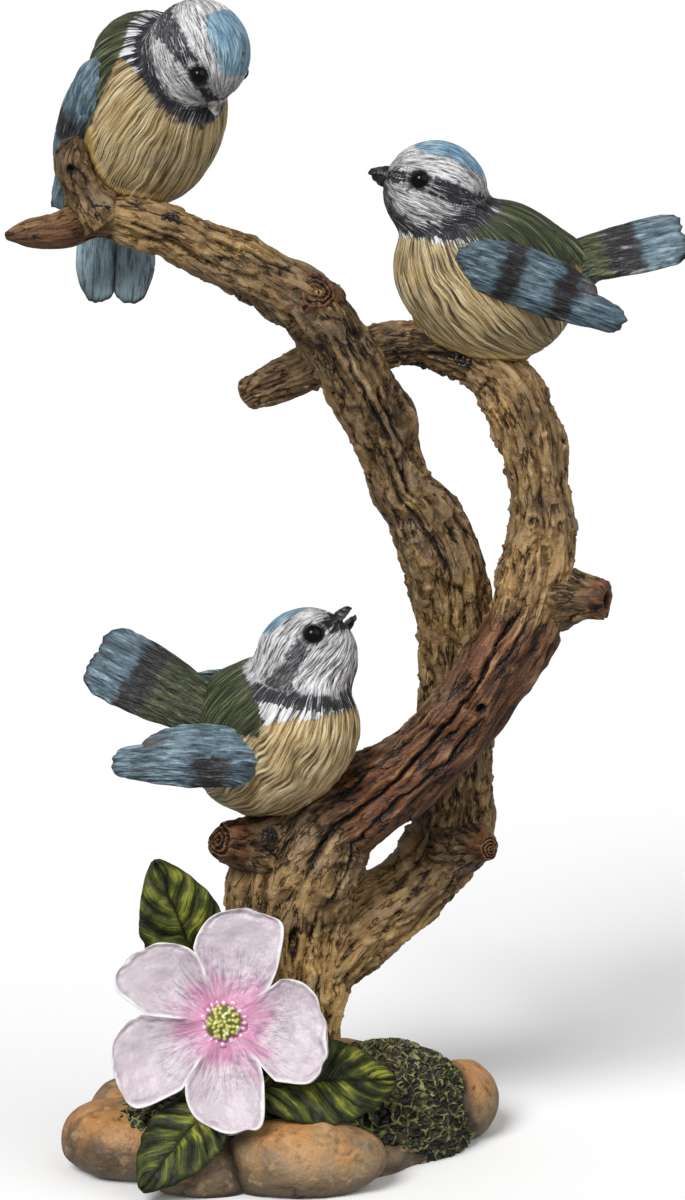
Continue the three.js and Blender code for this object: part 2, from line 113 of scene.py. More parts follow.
class Value:
    def __init__(self, tree, socket=None):
        self.tree = tree
        self.socket = socket

    # Any other node: its settings first, then the values or links of its sockets.
    def node(self, kind, settings=None, inputs=None, output=0):
        made = self.tree.nodes.new(kind)
        for key, setting in (settings or {}).items():
            if key == "stops":
                while len(made.color_ramp.elements) < len(setting):
                    made.color_ramp.elements.new(1.0)
                for element, (place, colour) in zip(made.color_ramp.elements, setting):
                    element.position = place
                    element.color = colour
            else:
                setattr(made, key, setting)
        for key, given in (inputs or {}).items():
            if isinstance(given, Value):
                self.tree.links.new(given.socket, made.inputs[key])
            else:
                made.inputs[key].default_value = given
        return Value(self.tree, made.outputs[output])

    def math(self, operation, first, second):
        return self.node("ShaderNodeMath", {"operation": operation}, {0: first, 1: second})

    def __add__(self, other):
        return self.math("ADD", self, other)

    def __radd__(self, other):
        return self.math("ADD", other, self)

    def __sub__(self, other):
        return self.math("SUBTRACT", self, other)

    def __rsub__(self, other):
        return self.math("SUBTRACT", other, self)

    def __mul__(self, other):
        return self.math("MULTIPLY", self, other)

    def __rmul__(self, other):
        return self.math("MULTIPLY", other, self)

    def attribute(self, name):
        return self.node("ShaderNodeAttribute", {"attribute_name": name}, output="Fac")

    # Noise from 0 to 1 on the object's own coordinates, its grains this many millimetres across.
    def grain(self, size, detail=2.0):
        place = self.node("ShaderNodeTexCoord", output="Object")
        scale = 1.0 / (size * millimetre)
        return self.node("ShaderNodeTexNoise", None, {"Vector": place, "Scale": scale, "Detail": detail})

    # Grain of this width and length, drawn out along a piece by the millimetres its surface holds: aside and
    # deep across it, along from its root.
    def lengthGrain(self, width, length, detail=1.0, names=("aside", "deep", "along")):
        shares = (1.0 / width, 1.0 / width, 1.0 / length)
        parts = {k: self.attribute(name) * share for k, (name, share) in enumerate(zip(names, shares))}
        spot = self.node("ShaderNodeCombineXYZ", None, parts)
        return self.node("ShaderNodeTexNoise", None, {"Vector": spot, "Scale": 1.0, "Detail": detail})

    # 1 where a value crosses its middle, 0 this far from it.
    def crossing(self, width):
        gap = self - 0.5
        return 1.0 - (gap * gap).step(0.0, width * width)

    # A net of threads: 1 on the walls between cells this many millimetres across, 0 in their middles.
    def net(self, size, width):
        place = self.node("ShaderNodeTexCoord", output="Object")
        scale = 1.0 / (size * millimetre)
        warp = self.node("ShaderNodeTexNoise", None, {"Vector": place, "Scale": 0.5 * scale}, "Color")
        bend = 2.6 * size * millimetre
        inputs = {0: warp, 1: (bend, bend, bend), 2: place}
        spot = self.node("ShaderNodeVectorMath", {"operation": "MULTIPLY_ADD"}, inputs)
        inputs = {"Vector": spot, "Scale": scale}
        wall = self.node("ShaderNodeTexVoronoi", {"feature": "DISTANCE_TO_EDGE"}, inputs)
        return 1.0 - wall.step(0.3 * width, width)

    # 0 below low, 1 above high, smooth between them.
    def step(self, low, high):
        inputs = {"Value": self, "From Min": low, "From Max": high}
        return self.node("ShaderNodeMapRange", {"interpolation_type": "SMOOTHSTEP"}, inputs)

    def ramp(self, *stops):
        stops = [(place, paint(*colour)) for place, colour in stops]
        return self.node("ShaderNodeValToRGB", {"stops": stops}, {"Fac": self})

    # This colour where the share is 0, the other where it is 1.
    def towards(self, other, share):
        if isinstance(other, tuple):
            other = paint(*other)
        return self.node("ShaderNodeMix", {"data_type": "RGBA"}, {0: share, 6: self, 7: other}, 2)

    def bump(self, depth):
        return self.node("ShaderNodeBump", None, {"Height": self, "Distance": depth * millimetre})


# A material: look(value) gives what varies over the surface, constants are set straight on the sockets.
def finish(name, look, constants):
    made = bpy.data.materials.new(name)
    made.use_nodes = True
    shader = made.node_tree.nodes["Principled BSDF"]
    for socket, number in constants.items():
        shader.inputs[socket].default_value = number
    for socket, value in look(Value(made.node_tree)).items():
        made.node_tree.links.new(value.socket, shader.inputs[socket])
    return made


# Numbers

noiseTable = {"seed": 11, "size": 256, "gain": 1.9}
dice = np.random.default_rng(noiseTable["seed"])
shuffled = dice.permutation(noiseTable["size"])
slopes = dice.normal(size=(noiseTable["size"], 3))
slopes /= np.linalg.norm(slopes, axis=1)[:, None]


# Gradient noise: a random slope at each whole-number corner, blended smoothly. About -1 to 1.
def noise(places, seed):
    wrap = noiseTable["size"] - 1
    cell = np.floor(places).astype(np.int64)
    inside = places - cell
    fade = inside**3 * (inside * (inside * 6 - 15) + 10)
    total = np.zeros(places.shape[:-1])
    for corner in np.ndindex(2, 2, 2):
        at = (cell + corner) & wrap
        pick = shuffled[(at[..., 0] + seed) & wrap]
        pick = shuffled[(pick + at[..., 1]) & wrap]
        pick = shuffled[(pick + at[..., 2]) & wrap]
        weight = np.prod(np.where(np.array(corner) == 1, fade, 1 - fade), axis=-1)
        total += weight * np.sum((inside - corner) * slopes[pick], axis=-1)
    return total * noiseTable["gain"]


# 0 below low, 1 above high, smooth between them.
def smooth(value, low=0.0, high=1.0):
    share = np.clip((value - low) / (high - low), 0, 1)
    return share * share * (3 - 2 * share)


# 1 where the value crosses nought, fading out at this width either side.
def crease(value, width):
    return 1 - smooth(np.abs(value), 0, width)


# 1 at the middle, falling off on both sides.
def bell(value, middle, width):
    return np.exp(-(((value - middle) / width) ** 2))


def unit(way):
    way = np.asarray(way, float)
    return way / np.maximum(np.linalg.norm(way, axis=-1, keepdims=True), 1e-9)


# Points or vectors from their three coordinates, each an array or a number.
def asPoints(x, y, z):
    return np.stack(np.broadcast_arrays(x, y, z), axis=-1)


# Points reached from a start by a distance along each direction in turn.
def reached(start, directions, distances):
    for direction, distance in zip(directions, distances):
        start = start + direction * distance[..., None]
    return start


# A mean over this many neighbours on each side, along the rows and round the rings.
def blurred(field, reach):
    rows = np.arange(len(field))
    down = sum(field[np.clip(rows + k, 0, len(field) - 1)] for k in range(-reach, reach + 1))
    return sum(np.roll(down, k, axis=1) for k in range(-reach, reach + 1)) / (2 * reach + 1) ** 2


# Surfaces: a grid of points in rings, each ring closed on itself

# Outward normals of a grid of rings: across times down, turned to point away from each ring's middle.
def normalsOf(rings):
    down = np.gradient(rings, axis=0)
    across = np.roll(rings, -1, axis=1) - np.roll(rings, 1, axis=1)
    normal = unit(np.cross(across, down))
    outward = rings - rings.mean(axis=1, keepdims=True)
    return normal * np.sign(np.sum(normal * outward))


# Rings moved out along their own normals.
def raised(rings, height):
    return rings + normalsOf(rings) * height[..., None]


# A closed surface: quads between the rings and a fan over each end ring, its faces turned outward. What else
# it is given, such as tone or aside, becomes an attribute that its paint reads.
def closed(rings, **data):
    rows, around = rings.shape[:2]
    index = np.arange(rows * around).reshape(rows, around)
    after = np.roll(index, -1, axis=1)
    quads = np.stack([index[:-1], after[:-1], after[1:], index[1:]], axis=-1).reshape(-1, 4)
    first = np.full(around, rows * around)
    fans = np.concatenate([
        np.stack([after[0], index[0], first], axis=-1),
        np.stack([index[-1], after[-1], first + 1], axis=-1),
    ])
    points = np.concatenate([rings.reshape(-1, 3), rings[:1].mean(axis=1), rings[-1:].mean(axis=1)])
    a, b, c, d = (points[quads[:, i]] for i in range(4))
    volume = np.sum(a * np.cross(b, c)) + np.sum(a * np.cross(c, d))
    if volume < 0:
        quads = quads[:, ::-1]
        fans = fans[:, ::-1]
    values = {}
    for key, value in data.items():
        value = np.broadcast_to(value, (rows, around))
        values[key] = np.concatenate([value.ravel(), [value[0].mean(), value[-1].mean()]])
    return {"points": points, "quads": quads, "fans": fans, "data": values}


# Puts surfaces into one mesh object that stands for a CAD node.
def addPiece(name, surfaces, material, node, slot):
    keys = sorted({key for surface in surfaces for key in surface["data"]})
    quads, fans, start = [], [], 0
    for surface in surfaces:
        quads.append(surface["quads"] + start)
        fans.append(surface["fans"] + start)
        start += len(surface["points"])
    points = np.concatenate([surface["points"] for surface in surfaces]) * millimetre
    quads = np.concatenate(quads)
    fans = np.concatenate(fans)
    mesh = bpy.data.meshes.new(name)
    mesh.vertices.add(len(points))
    mesh.vertices.foreach_set("co", points.astype(np.float32).ravel())
    mesh.loops.add(quads.size + fans.size)
    mesh.loops.foreach_set("vertex_index", np.concatenate([quads.ravel(), fans.ravel()]).astype(np.int32))
    starts = np.concatenate([np.arange(len(quads)) * 4, quads.size + np.arange(len(fans)) * 3])
    mesh.polygons.add(len(starts))
    mesh.polygons.foreach_set("loop_start", starts.astype(np.int32))
    mesh.polygons.foreach_set("use_smooth", np.ones(len(starts), bool))
    mesh.update(calc_edges=True)
    for key in keys:
        values = [surface["data"].get(key, np.zeros(len(surface["points"]))) for surface in surfaces]
        layer = mesh.attributes.new(key, "FLOAT", "POINT")
        layer.data.foreach_set("value", np.concatenate(values).astype(np.float32))
    mesh.materials.append(material)
    piece = bpy.data.objects.new(name, mesh)
    scene.collection.objects.link(piece)
    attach(piece, "root")
    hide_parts(node)
    print(f"{name}: {len(quads) * 2 + len(fans)} triangles")


# Branches: stations are [x, y, z, radius], as the solid has them

frontStem = [
    [0.2, -1, 6, 18], [0, -1, 27, 14.2], [0.5, -1, 50, 14.8], [3.2, -2, 71, 16], [8, -3, 81.5, 15.4],
    [15, -5, 90.5, 12.8], [25, -8, 97, 11.2], [34, -10, 104.6, 10.4], [42.3, -11, 113.4, 9.8],
    [50.8, -11, 124.3, 9.6], [57.4, -9, 134.2, 9.7], [61.9, -7, 143.6, 9.7], [64.2, -5, 152.7, 9.5],
    [65.4, -3, 161.3, 8.9], [65.4, -2, 168.8, 7.9], [64.2, 0, 180, 7.8], [61, 2, 191.5, 8.3],
    [57.3, 4, 198.5, 8.3], [50, 6, 205.5, 7.3], [41.5, 7, 209, 6.3], [32.9, 8, 210, 6],
    [20, 9, 207.8, 5.8], [7.8, 10, 203.5, 5.7], [-4.4, 12, 197.7, 5.1], [-9.6, 13, 194.9, 4.4],
]
rearStem = [
    [4, 3, 10, 12], [5, 3, 38, 8], [15, 4, 53, 10.5], [24, 7, 60.4, 10.4], [32.8, 9, 66.6, 10],
    [39.3, 11, 73, 10.1], [43.7, 12, 80.5, 10.4], [45.3, 12, 97.8, 9.6], [44.7, 10, 116.8, 9.2],
    [43.6, 8, 138.3, 9.4], [42.2, 7, 147.6, 10.1], [40.1, 6, 157.4, 10.5], [35.3, 5, 166.4, 9.2],
    [30, 4, 174, 7.6], [27.4, 3, 182, 7.4], [25.3, 1, 189.3, 8.3], [21.3, -1, 198, 8.6],
    [17, -3, 206.8, 8.4], [11.2, -5, 216.4, 8.2], [5, -6, 222.8, 8.3], [-3.7, -6, 228.2, 7.5],
    [-15.7, -6, 234.2, 7], [-27.3, -6, 239.8, 6.9], [-33.4, -6, 241.4, 6.5], [-40.9, -5, 243.3, 6],
    [-47.1, -5, 243, 5.2], [-54.5, -7, 241.2, 5], [-61.3, -9, 240.7, 4.3], [-67.6, -11, 239.7, 3],
]
twigs = {
    "upperLeft": [[-43.6, -5, 242, 5.6], [-48.2, -5, 250, 5.2], [-51.4, -6.3, 258, 4.6],
                  [-50.2, -6.5, 263.4, 3.2]],
    "rightStub": [[65, -6, 146, 7], [73, -8.5, 147.3, 6], [82, -12.5, 147.6, 5.1]],
    "leftKnot": [[0, -4, 81, 10], [-8, -9, 83.5, 7], [-15, -15.5, 86, 5.5]],
    "rightKnot": [[44, 8, 79, 8], [50, 2, 80, 4.6], [53, -2.5, 80.5, 4]],
    "upperKnot": [[8, -6, 221, 8], [8.9, -10, 224, 5.6], [9.5, -13, 225.6, 4.4]],
}
# A stem's end rounds off over a share of its last radius and narrows by another. Its face bulges by dome, or
# is hollow where that is below nought, and winds in a groove as deep as swirl. red is how many millimetres
# before the face are red-brown.
endShapes = {
    "front": {"round": 0.35, "narrow": 0.72, "dome": 0.12, "swirl": 0.12, "red": 0},
    "rear": {"round": 2.2, "narrow": 0.72, "dome": 0.1, "swirl": 0.1, "red": 0},
    "upperLeft": {"round": 1.1, "narrow": 0.72, "dome": 0.2, "swirl": 0.15, "red": 0},
    "rightStub": {"round": 0.12, "narrow": 0.5, "dome": -1.1, "swirl": 0.0, "red": 5},
    "leftKnot": {"round": 0.5, "narrow": 0.2, "dome": 0.35, "swirl": 0.5, "red": 7},
    "rightKnot": {"round": 0.7, "narrow": 0.3, "dome": 0.35, "swirl": 0.5, "red": 5},
    "upperKnot": {"round": 0.8, "narrow": 0.4, "dome": 0.3, "swirl": 0.45, "red": 5},
}

# Long splits run along a stem through [millimetres along it, degrees round it from the front]. Knots are
# swirls of bark at such places, drawn out along the grain, with a deep or a shallow hole. bare, pale and
# knobby are [millimetres along, share] of the red-brown wood, the pale bark and the knobs.
barkMarks = {
    "front": {
        "splits": [
            {"path": [[74, -3], [90, 6], [99, 13], [108, 16], [121, 26], [139, 27], [153, 36], [162, 23]],
             "width": 0.6, "depth": 1.9},
            {"path": [[66, -30], [74, -32], [82, -36], [99, -15], [105, -9], [114, -14], [125, -18],
                      [137, -12]], "width": 0.5, "depth": 1.5},
            {"path": [[28, -42], [45, -37], [57, -22], [69, -24]], "width": 0.5, "depth": 1.1},
            {"path": [[20, 14], [38, 22], [52, 16], [66, 30]], "width": 0.45, "depth": 0.9},
            {"path": [[84, 40], [96, 44], [110, 52], [130, 48]], "width": 0.5, "depth": 1.0},
            {"path": [[104, 2], [118, 6], [132, 8]], "width": 0.45, "depth": 0.8},
            {"path": [[140, 18], [150, 10], [163, 4]], "width": 0.45, "depth": 0.9},
        ],
        "knots": [
            {"at": [135.8, -3], "size": 2.4, "hole": 1.8, "drawn": 1},
            {"at": [55, -5], "size": 2.6, "hole": 1.8, "drawn": 3.2},
            {"at": [185, 28], "size": 2.4, "hole": 0.5, "drawn": 1},
            {"at": [262, -20], "size": 4, "hole": 0.3, "drawn": 2.4},
        ],
        "bare": [[88, 0.0], [98, 1.0], [154, 1.0], [162, 0.0]],
        "pale": [[0, 1.6], [51, 1.45], [60, 0.35], [96, 0.15], [150, 0.2], [170, 0.4], [225, 0.32],
                 [240, 0.2], [285, 0.2], [300, 0.5]],
        "knobby": [[0, 0.5], [60, 0.9], [150, 0.6], [165, 1.4], [300, 1.3]],
        "seed": 3,
    },
    "rear": {
        "splits": [
            {"path": [[60, -60], [73, -37], [82, -21], [98, -14]], "width": 0.5, "depth": 1.2},
            {"path": [[146, 4], [160, -6], [176, 2], [190, 12]], "width": 0.5, "depth": 1.1},
            {"path": [[178, -20], [196, -12], [214, -4], [228, -8]], "width": 0.5, "depth": 1.1},
            {"path": [[244, -52], [252, -48], [260, -44], [271, -35]], "width": 0.5, "depth": 1.0},
            {"path": [[196, -34], [206, -26], [218, -30]], "width": 0.45, "depth": 0.8},
        ],
        "knots": [{"at": [89, -52], "size": 6, "hole": 0.5, "drawn": 1}],
        "bare": [[290, 0.0], [302, 1.6], [320, 1.6]],
        "pale": [[0, 0.5], [110, 0.32], [185, 0.26], [205, 0.18], [244, 0.24], [258, 0.38], [320, 0.38]],
        "knobby": [[0, 0.6], [100, 0.9], [240, 0.7], [250, 0.3], [320, 0.3]],
        "seed": 9,
    },
    "twig": {"splits": [], "knots": [], "bare": [[0, 0.0], [1, 0.0]], "pale": [[0, 0.1], [1, 0.1]],
             "knobby": [[0, 0.6], [1, 0.6]], "seed": 15},
}
hollowTwig = {**barkMarks["twig"], "knots": [{"at": [16.5, 10], "size": 2.2, "hole": 2.0, "drawn": 1}]}
stemSizes = {
    "rowStep": 0.54, "twigStep": 0.55,  # between one ring and the next
    "frontAround": 142, "rearAround": 122, "twigAround": 72,  # points in a ring
    "flute": 0.05, "fluteStep": 10.0, "fullness": 1.015,  # in shares of the radius
    "fillet": 7.0,  # how near another stem it swells to meet it
    "footRings": 4, "tipRings": 20, "endTurns": 3.4, "outermost": 0.96, "innermost": 0.06,
    "samples": 900,
}


# Centripetal Catmull-Rom through the stations' places, and a plain one through their radii.
def alongStations(stations, shares):
    places = np.array(stations, float)[:, :3]
    radii = np.array(stations, float)[:, 3]
    last = len(places) - 1
    cell = np.minimum((shares * last).astype(int), last - 1)
    part = (shares * last - cell)[:, None]
    padded = np.concatenate([[2 * places[0] - places[1]], places, [2 * places[-1] - places[-2]]])
    p0, p1, p2, p3 = (padded[cell + k] for k in range(4))
    d0, d1, d2 = (np.linalg.norm(b - a, axis=1)[:, None] ** 0.5 for a, b in ((p0, p1), (p1, p2), (p2, p3)))
    t1 = ((p1 - p0) / d0 - (p2 - p0) / (d0 + d1) + (p2 - p1) / d1) * d1
    t2 = ((p2 - p1) / d1 - (p3 - p1) / (d1 + d2) + (p3 - p2) / d2) * d1
    square, cube = part**2, part**3
    spots = p1 + t1 * part + (-3 * p1 + 3 * p2 - 2 * t1 - t2) * square + (2 * p1 - 2 * p2 + t1 + t2) * cube
    r0, r1, r2, r3 = (radii[np.clip(cell + k, 0, last)][:, None] for k in (-1, 0, 1, 2))
    v1, v2 = (r2 - r0) / 2, (r3 - r1) / 2
    girth = (2 * r1 - 2 * r2 + v1 + v2) * cube + (-3 * r1 + 3 * r2 - 2 * v1 - v2) * square + v1 * part + r1
    return spots, girth[:, 0]


# The stem's centre line at even steps, with a side direction carried along without twist.
def spineOf(stations, step):
    shares = np.linspace(0, 1, stemSizes["samples"])
    dense = alongStations(stations, shares)[0]
    run = np.concatenate([[0], np.cumsum(np.linalg.norm(np.diff(dense, axis=0), axis=1))])
    rows = int(run[-1] / step) + 1
    distance = np.linspace(0, run[-1], rows)
    centres, girth = alongStations(stations, np.interp(distance, run, shares))
    along = unit(np.gradient(centres, axis=0))
    side = np.zeros((rows, 3))
    current = np.array([0.0, -1.0, 0.0])
    for row in range(rows):
        current = unit(current - along[row] * np.dot(current, along[row]))
        side[row] = current
    return {"distance": distance, "centres": centres, "girth": girth, "along": along, "side": side,
            "across": np.cross(side, along)}


# Directions away from a stem's centre line at these angles round it.
def awayFrom(side, across, angle):
    return np.cos(angle)[..., None] * side + np.sin(angle)[..., None] * across


# How far outside a stem's round surface each point is, by every sixth ring.
def clearOf(spine, points):
    flat = points.reshape(-1, 3)
    least = np.full(len(flat), np.inf)
    for k in range(0, len(spine["distance"]), 6):
        gap = np.linalg.norm(flat - spine["centres"][k], axis=1) - spine["girth"][k]
        least = np.minimum(least, gap)
    return least.reshape(points.shape[:-1])


# A value at every distance along a stem and angle round it, from its [millimetres, value] stops.
def fromStops(stops, distance, angle):
    stops = np.array(stops)
    return np.interp(distance + 0 * angle, stops[:, 0], stops[:, 1])


# Bark: broad swells parted by fine cracks, with shelves, flakes, knobs and grit, and flowing grain where it
# is bare. Gives its height, how bare it is and its tone, from 0 in a crack to 1 on a crest.
def barkRelief(distance, angle, girth, marks):
    unrolled = asPoints(np.cos(angle) * girth, np.sin(angle) * girth, distance)

    def layer(number, across, along, shift=0):
        return noise((unrolled + shift) / [across, across, along], marks["seed"] + number)

    def offAngle(degrees):
        return (angle - np.radians(degrees) + np.pi) % (2 * np.pi) - np.pi

    wander = layer(1, 9, 20)[..., None] * [3.2, -3.2, 0]
    drift = layer(7, 4, 4)[..., None] * [1.2, -1.2, 2.5]
    plates = layer(2, 4.6, 22, wander)
    shorter = layer(9, 3.0, 7, drift)
    flakes = layer(3, 1.7, 4, drift)
    grit = layer(5, 0.9, 1.4, drift)
    knobs = layer(12, 2.0, 2.8)
    lumps = layer(4, 7, 11)
    grain = layer(10, 1.5, 15, wander)
    patches = layer(6, 8, 14)
    jitter = 0.6 * layer(8, 3.5, 3.5)
    bare = fromStops(marks["bare"], distance, angle)
    bare = np.clip(bare * (0.35 + smooth(patches + 0.6 * np.cos(angle), -0.4, 0.1)), 0, 1)
    knobby = fromStops(marks["knobby"], distance, angle)
    rough = 1 - 0.85 * bare
    cut = 0.8 * crease(plates, 0.03) * smooth(patches, -0.35, 0.15)
    cut = np.maximum(cut, 0.65 * rough * crease(shorter, 0.035) * smooth(-patches, -0.15, 0.3))
    shelves = 0.65 * smooth(plates, -0.05, 0.05) + 0.4 * smooth(shorter, -0.05, 0.05)
    height = lumps + 0.5 * np.abs(plates) + 0.35 * bare * grain + (0.25 + 0.75 * rough) * shelves - 0.5
    height += rough * (0.35 * flakes + 0.12 * grit + 0.7 * knobby * smooth(knobs, 0.38, 0.9))
    lips = 0 * cut
    for split in marks["splits"]:
        path = np.array(split["path"], float)
        first, last = path[0, 0], path[-1, 0]
        off = offAngle(np.interp(distance, path[:, 0], path[:, 1])) * girth + jitter
        run = smooth(distance, first - 2, first + 7) * (1 - smooth(distance, last - 7, last + 2))
        cut = np.maximum(cut, min(split["depth"], 1) * bell(off, 0, 0.75 * split["width"]) * run)
        height -= (split["depth"] - 0.6) * bell(off, 0, split["width"]) * run
        edges = (bell(off, 1.0, 0.45) + bell(off, -1.0, 0.45)) * run
        lips = np.maximum(lips, edges * smooth(patches, -0.1, 0.3))
    for knot in marks["knots"]:
        alongGrain = (distance - knot["at"][0]) / knot["drawn"]
        overGrain = offAngle(knot["at"][1]) * girth
        off = np.hypot(alongGrain, overGrain)
        reach = np.exp(-((off / knot["size"]) ** 4))
        swirl = np.cos(2 * np.pi * off / 1.9 + np.arctan2(overGrain, alongGrain))
        hole = bell(off, 0, 0.42 * knot["size"]) * knot["hole"]
        height = height * (1 - 0.6 * reach) + reach * (0.4 + 0.3 * swirl) - 1.3 * hole
        cut = np.maximum(cut * (1 - reach), np.clip(hole + 0.4 * reach * smooth(-swirl, 0.2, 1), 0, 1))
    tone = 0.56 + 0.32 * np.tanh((height - blurred(height, 5)) / 0.55) + 0.25 * lips - 0.62 * cut
    return height - 0.6 * cut + 0.2 * lips, bare, np.clip(tone, 0, 1)


# A ring drawn in towards its own middle, once for each share of its size.
def drawnIn(ring, shares):
    middle = ring.mean(axis=0)
    return middle + (ring - middle) * shares[..., None]


# A stem: rings round its centre line, swollen by flutes and bark, softened where it meets the other stems,
# rounded off towards its tip and closed by wound ends.
def stemSurface(spine, marks, around, ending, others):
    distance = spine["distance"][:, None]
    angle = np.linspace(0, 2 * np.pi, around, endpoint=False)[None, :]
    girth = spine["girth"][:, None]
    tipGirth = girth[-1, 0]
    wave = distance / stemSizes["fluteStep"]
    flutes = np.sin(3 * angle + 0.35 * wave) + 0.6 * np.sin(5 * angle - 0.8 * wave)
    rounding = ending["round"] * tipGirth
    toTip = np.clip((distance - distance[-1] + rounding) / rounding, 0, 1)
    narrowed = np.sqrt(1 - ending["narrow"] * toTip**2)
    reach = girth * (1 + stemSizes["flute"] * flutes) * stemSizes["fullness"] * narrowed
    away = awayFrom(spine["side"][:, None], spine["across"][:, None], angle)
    rings = spine["centres"][:, None] + away * reach[..., None]
    swell = np.zeros(reach.shape)
    for other in others:
        near = 1 - np.abs(clearOf(other, rings)) / stemSizes["fillet"]
        swell += np.clip(near, 0, 1) ** 2 * stemSizes["fillet"] / 4
    height, bare, tone = barkRelief(distance, angle, girth, marks)
    height *= np.clip(girth / 7, 0.5, 1) * (1 - 0.4 * toTip)
    rings = rings + away * (swell + height - 0.5)[..., None]
    footShares, shares = (
        np.linspace(stemSizes["outermost"], stemSizes["innermost"], stemSizes[count])[:, None]
        for count in ("footRings", "tipRings")
    )
    hollow = ending["dome"] < 0
    winding = 2 * np.pi * stemSizes["endTurns"] * shares + angle + 0.7 * np.sin(2 * angle + 4 * shares)
    groove = ending["swirl"] * np.cos(winding)
    bowl = 1 - smooth(shares, 0.6, 0.8) if hollow else 1 - shares**2
    rise = ending["dome"] * tipGirth * 0.6 * bowl + groove
    foot = drawnIn(rings[0], footShares)[::-1]
    tip = drawnIn(rings[-1], shares) + spine["along"][-1] * rise[..., None]

    # Nought on the foot, then these values on the stem and on the face of its tip.
    def through(onStem, onTip):
        parts = ((0, foot), (onStem, rings), (onTip, tip))
        return np.concatenate([np.broadcast_to(value, grid.shape[:2]) for value, grid in parts])

    redness = smooth(distance - distance[-1] + ending["red"], 0, 0.6 * ending["red"] + 0.01)
    return closed(
        np.concatenate([foot, rings, tip]),
        tone=through(tone, 0.8 - 0.75 * bowl if hollow else np.clip(0.45 + 0.8 * groove, 0, 1)),
        bare=through(bare, 0),
        wound=through(redness, 1),
        pale=through(fromStops(marks["pale"], distance, angle), 0.3),
        aside=through(girth * np.cos(angle), girth[-1:] * np.cos(angle) * shares),
        deep=through(girth * np.sin(angle), girth[-1:] * np.sin(angle) * shares),
        along=through(distance, distance[-1]),
    )


# Colours from the cracks to the crests
barkPaints = {
    "brown": [(0.0, (8, 5, 3)), (0.25, (38, 27, 16)), (0.5, (77, 57, 37)), (0.75, (112, 88, 62)),
              (1.0, (164, 140, 108))],
    "pale": [(0.0, (24, 15, 7)), (0.25, (136, 98, 54)), (0.5, (198, 158, 98)), (0.75, (218, 180, 120)),
             (1.0, (220, 192, 142))],
    "red": [(0.0, (8, 4, 3)), (0.28, (46, 25, 14)), (0.55, (90, 54, 32)), (0.8, (120, 77, 48)),
            (1.0, (162, 122, 86))],
    "ochre": (188, 146, 70), "gold": (202, 164, 88), "grey": (132, 115, 96), "dirt": (26, 19, 11),
    "wound": (122, 78, 52),
}


# Brown bark: dark in its cracks, paler on its crests and along the trunk, dry-brushed here and there with
# ochre and grey, with thin gold lines, and red-brown where it is bare.
def barkLook(skin):
    ridges = skin.lengthGrain(2.2, 10.0, 4.0)
    seams = ridges.crossing(0.036) * skin.grain(7, 1.0).step(0.38, 0.55)
    streaks = skin.lengthGrain(0.7, 6.0, 3.0)
    tone = skin.attribute("tone") + 0.5 * (ridges - 0.5) + 0.3 * (streaks - 0.5)
    tone = tone + 0.3 * (skin.grain(0.7, 4.0) - 0.5) - 0.36 * seams
    light = skin.attribute("pale") + 0.9 * (skin.grain(22, 2.0) - 0.5)
    bark = tone.ramp(*barkPaints["brown"]).towards(tone.ramp(*barkPaints["pale"]), light.step(-0.05, 1.05))
    ochre = skin.lengthGrain(2.2, 8.0, 3.0).step(0.57, 0.68) * tone.step(0.55, 0.8)
    bark = bark.towards(barkPaints["ochre"], ochre * 0.45)
    gold = skin.lengthGrain(2.0, 7.0, 3.0).crossing(0.026) * skin.grain(8, 2.0).step(0.5, 0.6)
    gold = gold * (1.0 - skin.attribute("bare")) * skin.attribute("pale").step(-0.3, 0.9)
    bark = bark.towards(barkPaints["gold"], gold * 0.85)
    grey = skin.grain(9, 2.0).step(0.46, 0.64) * tone.step(0.35, 0.7)
    bark = bark.towards(barkPaints["grey"], grey * 0.45)
    bark = bark.towards(barkPaints["dirt"], skin.grain(13, 3.0).step(0.55, 0.72) * 0.5)
    red = (tone + 0.7 * (streaks - 0.5)).ramp(*barkPaints["red"])
    bark = bark.towards(red, skin.attribute("bare") * 0.9).towards(red, skin.attribute("wound") * 0.8)
    bark = bark.towards(barkPaints["wound"], skin.attribute("wound") * tone.step(0.42, 0.7) * 0.4)
    roughness = 0.5 - 0.08 * skin.attribute("bare") + 0.25 * (skin.grain(5, 3.0) - 0.5)
    relief = skin.grain(0.6, 4.0) * 0.3 + streaks * 0.5 + ridges * 0.5 - seams * 0.7
    return {"Base Color": bark, "Roughness": roughness, "Normal": relief.bump(1.0)}


# Two long stems and their twigs and knots, each swollen where it meets the others.
def makeBranches():
    bark = finish("bark_paint", barkLook, {"Specular IOR Level": 0.35})
    node = ("branches_and_stone_base", "bark_and_stone")
    rowStep = stemSizes["rowStep"]
    stems = {"front": spineOf(frontStem, rowStep), "rear": spineOf(rearStem, rowStep)}
    for name, other in (("front", "rear"), ("rear", "front")):
        around = stemSizes[name + "Around"]
        surface = stemSurface(stems[name], barkMarks[name], around, endShapes[name], [stems[other]])
        addPiece(name + "_branch", [surface], bark, *node)
    stubs = {name: spineOf(stations, stemSizes["twigStep"]) for name, stations in twigs.items()}
    surfaces = []
    for name, stub in stubs.items():
        marks = hollowTwig if name == "upperLeft" else barkMarks["twig"]
        surfaces.append(stemSurface(stub, marks, stemSizes["twigAround"], endShapes[name], stems.values()))
    addPiece("twigs_and_knots", surfaces, bark, *node)
    return {**stems, **stubs}


# Base: pebbles and moss over a low dome

